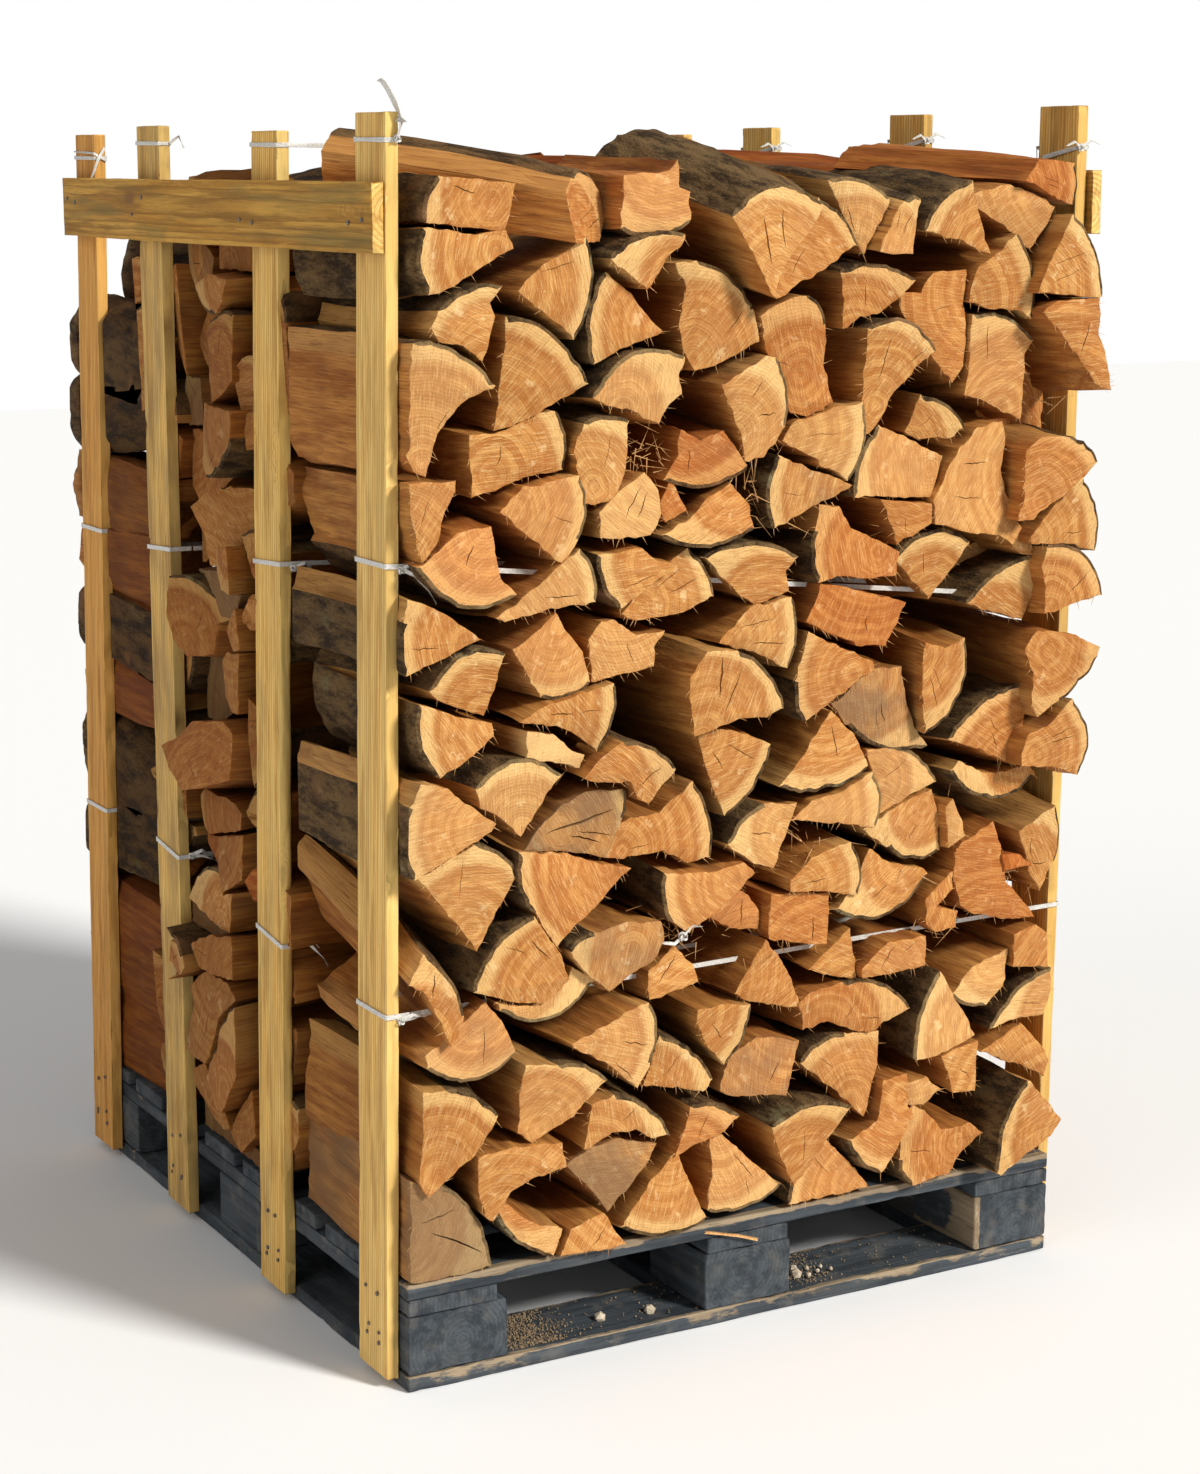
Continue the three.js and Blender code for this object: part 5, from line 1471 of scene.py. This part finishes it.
def top_ties(material):
    """The upper twine: round the head of each pair of uprights, its strands drawn down between the logs."""
    rng = random.Random(SEED + 47)
    gap = TWINE_AIR
    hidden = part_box("logs_front_top")[1].z - .018
    for k, zl, zr in TIE_HEIGHTS:
        a0, a1 = post_section(f"post_left_{k}", zl)
        b0, b1 = post_section(f"post_right_{k}", zr)
        back, behind = a1[1] + gap, b1[1] - .006
        out_strand = [(a1[0] + .003, a0[1] - gap, zl)]
        if k == 2:
            out_strand = [(a1[0] + .19, a0[1] + .03, hidden), (a1[0] + .14, a0[1] + .004, zl - .002),
                          *out_strand]
        else:
            out_strand = [(a1[0] + .012, back + .004, hidden), (a1[0] + .004, back - .004, zl - .012)]
        path = [
            (a0[0] - gap, a0[1] - gap, zl), (a0[0] - gap, back, zl + .001), (a1[0] + .004, back, zl),
            (a1[0] + .010, back + .003, zl - .015), (a1[0] + .022, back + .006, hidden), (0, back, hidden),
            (b0[0] - .020, behind, hidden), (b0[0] - .006, behind, zr - .02), (b0[0] - .002, b1[1] + gap, zr),
            (b1[0] + gap, b1[1] + gap, zr + .001), (b1[0] + gap, b0[1] - gap, zr),
            (b0[0] - .002, b0[1] - gap, zr), (b0[0] - .003, behind - .012, zr - .012),
            (b0[0] - .018, behind - .012, hidden), (0, behind - .02, hidden),
        ] + out_strand
        if k != 2:
            path += [(a1[0] + gap, back - .010, zl - .002), (a1[0] + gap, a0[1] - gap, zl)]
        parts = [ribbon(path, .0062, .0005, rng, closed=True)]
        if k == 4:
            x, y, z = path[1]
            second = [(a1[0] + .001, a0[1] - gap * 2, zl - .004),
                      (a0[0] - gap * 2.2, a0[1] - gap * 2.2, zl + .007), (x, y, z + .009)]
            parts.append(ribbon(second, .004, .0004, rng, twist=1.2))
        if k in (1, 2, 3):
            x, y = b0[0] + .002, b0[1] - .004
            parts.append(knot((x, y, zr), .0048, rng))
            parts.append(ribbon([(x, y, zr), (x - .012, y - .004, zr + .008), (x - .026, y - .003, zr + .002)],
                                .005, .0004, rng, twist=1.5))
            parts.append(ribbon([(x, y, zr), (x + .016, y - .003, zr + .010), (x + .030, y - .003, zr + .004)],
                                .0045, .0004, rng, twist=-1.1))
        if k == 1:
            x, y = a1[0] - .004, a0[1] - .004
            parts.append(knot((a1[0] - .003, a0[1] - .003, zl + .001), .0042, rng))
            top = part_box("post_left_1")[1].z
            parts.append(ribbon([(x, y, zl), (x + .005, y - .001, zl + .02), (x + .004, y - .001, top - .004),
                                 (x - .003, y - .001, top + .012), (x - .010, y - .001, top + .024),
                                 (x - .017, y - .001, top + .034), (x - .021, y - .001, top + .036)],
                                .0145, .0008, rng, twist=.4, start=1.25))
        if k == 3:
            x, y = a1[0] - .002, a0[1] - .003
            tail = [(x, y, zl), (x + .012, y - .004, zl + .010), (x + .018, y - .006, zl - .006)]
            parts.append(ribbon(tail, .0055, .0004, rng, twist=2.2))
        piece = twine_mesh(f"twine_top_{k}", parts, material)
        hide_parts(f"tie_top_{k}")
        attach(piece, "root")


# Knots on the left uprights: which one, height, and how far the tails hang down.
TAILS = ((1, 1.040, .030), (2, 1.003, .026), (3, .548, .012), (2, .508, .028), (1, .482, -.004))


def loose_tails(material):
    """Knots and cut tails of the middle and lower twine."""
    rng = random.Random(SEED + 53)
    low, high = post_section("post_left_4", 1.53)
    x, y = high[0] - .002, low[1] - .002
    hanging = [(x, y, 1.536), (x - .012, y - .004, 1.520),
               (x - .020, y - .004, 1.500), (x - .026, y - .003, 1.488)]
    parts = [ribbon(hanging, .005, .0004, rng, twist=1.4)]
    for k, z, drop in TAILS:
        low, high = post_section(f"post_left_{k}", z)
        x, y = high[0] + .001, low[1] - .0035
        parts.append(knot((x, y, z - .002), .0042, rng))
        parts.append(ribbon([(x, y, z), (x + .018, y - .004, z - drop * .3), (x + .036, y - .003, z - drop),
                             (x + .046, y - .001, z - drop * 1.5)], .0055, .0004, rng, twist=2.4))
        parts.append(ribbon([(x, y, z), (x + .014, y - .006, z + .006), (x + .030, y - .007, z - drop * .5)],
                            .005, .0004, rng, twist=-1.6))
    x, y, z = -.118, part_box("logs_front_mid")[0].y + .028, .548
    parts.append(knot((x, y, z), .0055, rng))
    for tail in (((-.104, y, .560), (-.088, y + .004, .556)), ((-.130, y, .540), (-.150, y + .006, .543))):
        parts.append(ribbon([(x, y, z), *tail], .005, .0004, rng, twist=1.3))
    piece = twine_mesh("twine_tails", parts, material)
    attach(piece, "root")


def torn_fibres(rims, rng, splinter, wood):
    """Short fibres that stand out from the torn rims of the front ends."""
    places, aims = [], []
    for p, normal in rims:
        if rng.random() < .34:
            places.append(p + np.array([0, .0015, 0]))
            aims.append(normal * .6 + np.array([rng.uniform(-.5, .5), -.55, rng.uniform(-.6, .1)]))
    repeated("torn_fibres", splinter, places, aims, wood, "split_wood",
             Length=.014, Thickness=.0006, Spread=.6, Smallest=.25, Seed=3)


# Tufts of long splinters where logs were torn: right of the middle, up from the floor, how many.
TUFTS = ((-.160, 1.155, 46), (-.03, 1.11, 34), (.08, 1.09, 26), (-.11, .54, 30), (.10, .62, 26),
         (.49, 1.215, 8), (-.02, 1.17, 24), (.20, 1.02, 14), (.44, .55, 16), (.30, .52, 14), (.02, .50, 14),
         (.25, .60, 10), (-.30, .80, 10), (.36, .69, 8))
TUFT_SIDE = .51          # no splinter starts farther right than this


def long_splinters(rng, splinter, wood):
    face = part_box("logs_front_mid")[0].y + .05
    places, aims = [], []
    for x, z, count in TUFTS:
        for _ in range(count):
            places.append((min(x + rng.gauss(0, .022), TUFT_SIDE),
                           face + rng.uniform(0, .03),
                           z + rng.gauss(0, .018)))
            aims.append((rng.uniform(-1, 1), rng.uniform(-.8, .1), rng.uniform(-1, .7)))
    repeated("long_splinters", splinter, places, aims, wood, "split_wood",
             Length=.052, Thickness=.0011, Spread=.3, Smallest=.25, Seed=5)


FOOT_NAILS = (.052, .066, .118)      # heights of the nails through each upright's foot
HEAD_PROUD = .0003                   # how far a nail head stands out of the wood


def nail_heads(rng, nail, steel):
    """Nails through the feet of the uprights and through the rails."""
    places, aims = [], []
    for node in sorted(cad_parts):
        if not node.startswith("post_"):
            continue
        foot = stations(node, 2)[0]
        outer, side = (foot[1][0], -1) if "left" in node else (foot[2][0], 1)
        for z in FOOT_NAILS:
            for shift in (-.018, .016):
                places.append((outer + side * HEAD_PROUD,
                               (foot[1][1] + foot[2][1]) / 2 + shift + rng.uniform(-.006, .006),
                               z + rng.uniform(-.006, .006)))
                aims.append((side, 0, 0))
    for hand, side in (("left", -1), ("right", 1)):
        rows = stations(f"rail_{hand}", 1)
        low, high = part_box(f"rail_{hand}")
        for k in range(1, 5):
            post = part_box(f"post_{hand}_{k}")
            for shift in (-.02, .018):
                y = (post[0].y + post[1].y) / 2 + shift
                x = np.interp(y, [r[0] for r in rows], [r[1 if side < 0 else 2][0] for r in rows])
                places.append((x + side * HEAD_PROUD, y, (low.z + high.z) / 2 + rng.uniform(-.02, .02)))
                aims.append((side, 0, 0))
    repeated("nail_heads", nail, places, aims, steel, "batten_wood",
             Length=.0022, Thickness=.0030, Spread=.06, Smallest=.8, Seed=7)


def any_way(rng):
    """A direction that points anywhere upwards."""
    return (rng.uniform(-1, 1), rng.uniform(-1, 1), 1)


# Sawdust and bark crumbs on the front skid: two heaps, and a thin spread over all of it.
CRUMB_HEAPS = ((-.37, -.25, 1500), (.07, .17, 320))
CRUMB_SPREAD = (-.45, .50, 330)
CRUMB_SIDE = .49
PEBBLES = ((.075, .052), (.088, .038), (.097, .058), (.108, .045), (.121, .034), (.132, .055), (.140, .041),
           (.152, .052), (.160, .038), (.114, .062), (-.20, .045), (-.13, .035))


def crumbs_and_pebbles(rng, crumb, dust_wood, pebble):
    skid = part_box("skid_front")
    places, aims = [], []
    for x0, x1, count in (*CRUMB_HEAPS, CRUMB_SPREAD):
        for _ in range(count):
            x = rng.gauss((x0 + x1) / 2, (x1 - x0) / 4)
            y = rng.uniform(skid[0].y + .012, skid[1].y - .01)
            places.append((min(max(x, -CRUMB_SIDE), CRUMB_SIDE), y, skid[1].z + .0008))
            aims.append(any_way(rng))
    repeated("crumbs_on_skid", crumb, places, aims, dust_wood, "split_wood",
             Thickness=.0015, Spread=.8, Smallest=.2, Seed=11)
    places = [(x, skid[0].y + y, skid[1].z + .003) for x, y in PEBBLES]
    aims = [any_way(rng) for _ in places]
    repeated("pebbles_on_skid", crumb, places, aims, pebble, "split_wood",
             Thickness=.0085, Spread=.8, Smallest=.35, Seed=13)


def deck_splinter(rng, wood):
    """A long splinter that hangs from the front edge of the deck."""
    low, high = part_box("deck_board_1")
    line = [(-.075, low.y + .004, high.z - .010), (-.055, low.y - .004, high.z - .013),
            (-.02, low.y - .007, high.z - .022), (.012, low.y - .006, high.z - .034)]
    piece = twine_mesh("deck_splinter", [ribbon(line, .0042, .0012, rng)], wood)
    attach(piece, "root")


def small_things(rims, splinter_wood, steel, dust_wood, pebble):
    """What is too small or too many for the CAD, drawn from one run of random numbers."""
    rng = random.Random(SEED + 31)
    splinter = repeat_tree("splinters", "splinter")
    torn_fibres(rims, rng, splinter, splinter_wood)
    long_splinters(rng, splinter, splinter_wood)
    nail_heads(rng, repeat_tree("nail_heads", "nail"), steel)
    crumbs_and_pebbles(rng, repeat_tree("crumbs", "crumb"), dust_wood, pebble)
    deck_splinter(rng, splinter_wood)


# ---------------------------------------------------------------- room, light and camera

FLOOR_REACH = 14


def pale_floor():
    z, r = cad_bounds[0][2], FLOOR_REACH
    mesh = bpy.data.meshes.new("floor")
    mesh.from_pydata([(-r, -r, z), (r, -r, z), (r, r, z), (-r, r, z)], [], [(0, 1, 2, 3)])
    floor = bpy.data.objects.new("floor", mesh)
    bpy.context.scene.collection.objects.link(floor)
    material, w = new_material("floor_white")
    finish_material(w, (.90, .92, .95), .9)
    mesh.materials.append(material)


def room_light():
    """A soft warm fill on the object, and plain white behind it."""
    world = bpy.data.worlds.new("studio")
    bpy.context.scene.world = world
    world.use_nodes = True
    tree = world.node_tree
    fill = tree.nodes["Background"]
    fill.inputs[0].default_value = (1, .98, .95, 1)
    fill.inputs[1].default_value = .34
    sky = tree.nodes.new("ShaderNodeBackground")
    sky.inputs[0].default_value = (1, 1, 1, 1)
    path = tree.nodes.new("ShaderNodeLightPath")
    choose = tree.nodes.new("ShaderNodeMixShader")
    tree.links.new(path.outputs["Is Camera Ray"], choose.inputs[0])
    tree.links.new(fill.outputs[0], choose.inputs[1])
    tree.links.new(sky.outputs[0], choose.inputs[2])
    tree.links.new(choose.outputs[0], tree.nodes["World Output"].inputs["Surface"])


def sun_lamp(name, energy, softness, color, toward):
    """A distant lamp; toward points from the object to the lamp."""
    sun = bpy.data.lights.new(name, "SUN")
    sun.energy = energy
    sun.angle = math.radians(softness)
    sun.color = color
    lamp = bpy.data.objects.new(name, sun)
    bpy.context.scene.collection.objects.link(lamp)
    lamp.rotation_euler = Vector(toward).to_track_quat("Z", "Y").to_euler()


def view_camera():
    camera = bpy.data.cameras.new("camera")
    camera.lens = 70.39
    camera.sensor_width = 36
    eye = bpy.data.objects.new("camera", camera)
    eye.location = (-1.953, -3.615, 1.511)
    eye.rotation_euler = (math.radians(78.78), 0, math.radians(-29.41))
    bpy.context.scene.collection.objects.link(eye)
    bpy.context.scene.camera = eye


pale_floor()
room_light()
sun_lamp("key", 3.85, 12, (1, .965, .90), (.42, -.80, .62))
sun_lamp("left_fill", .60, 50, (1, .97, .92), (-.92, -.28, .42))
view_camera()
bpy.context.scene.view_settings.view_transform = "Standard"

# ---------------------------------------------------------------- the whole bundle

groups = {"rings": growth_rings_group(), "fibre": fibre_group(), "tint": tint_and_shade_group()}
log_finishes = (sawn_end_material(groups), split_face_material(groups), bark_material(groups))
# Pale, middle and deep wood, and its stain.
PINE = ((.91, .61, .20), (.78, .45, .110), (.40, .200, .040), (.30, .215, .080))
RAIL = ((.58, .32, .058), (.45, .215, .030), (.24, .110, .016), (.17, .125, .036))
post_finishes = (batten_material(groups, "batten_pine", *PINE, .35),
                 batten_material(groups, "batten_pine_end", *PINE, .2))
rail_finishes = (batten_material(groups, "rail_pine", *RAIL, .65),
                 batten_material(groups, "rail_pine_end", *PINE, .2))
paint_finishes = (paint_material(groups, "pallet_paint", .35), paint_material(groups, "pallet_paint_end", .2))
planes = post_planes()
rims = stack_logs(log_finishes, planes)
top_logs(log_finishes, planes)
pallet(paint_finishes)
uprights(post_finishes, rail_finishes)
twine = twine_material()
for node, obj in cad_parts.items():
    if node.startswith(("tie_low", "tie_mid")):
        obj.data.materials.clear()
        obj.data.materials.append(twine)
top_ties(twine)
loose_tails(twine)
splinter_wood = plain_material("splinter_wood", (.42, .19, .055), (.74, .45, .19), 300, .8)
dust_wood = plain_material("crumb_wood", (.13, .085, .045), (.42, .30, .18), 260, .9)
steel = plain_material("nail_steel", (.10, .095, .09), (.30, .28, .26), 500, .5, .8)
pebble = plain_material("pebble", (.42, .34, .24), (.72, .62, .48), 120, .85)
small_things(rims, splinter_wood, steel, dust_wood, pebble)
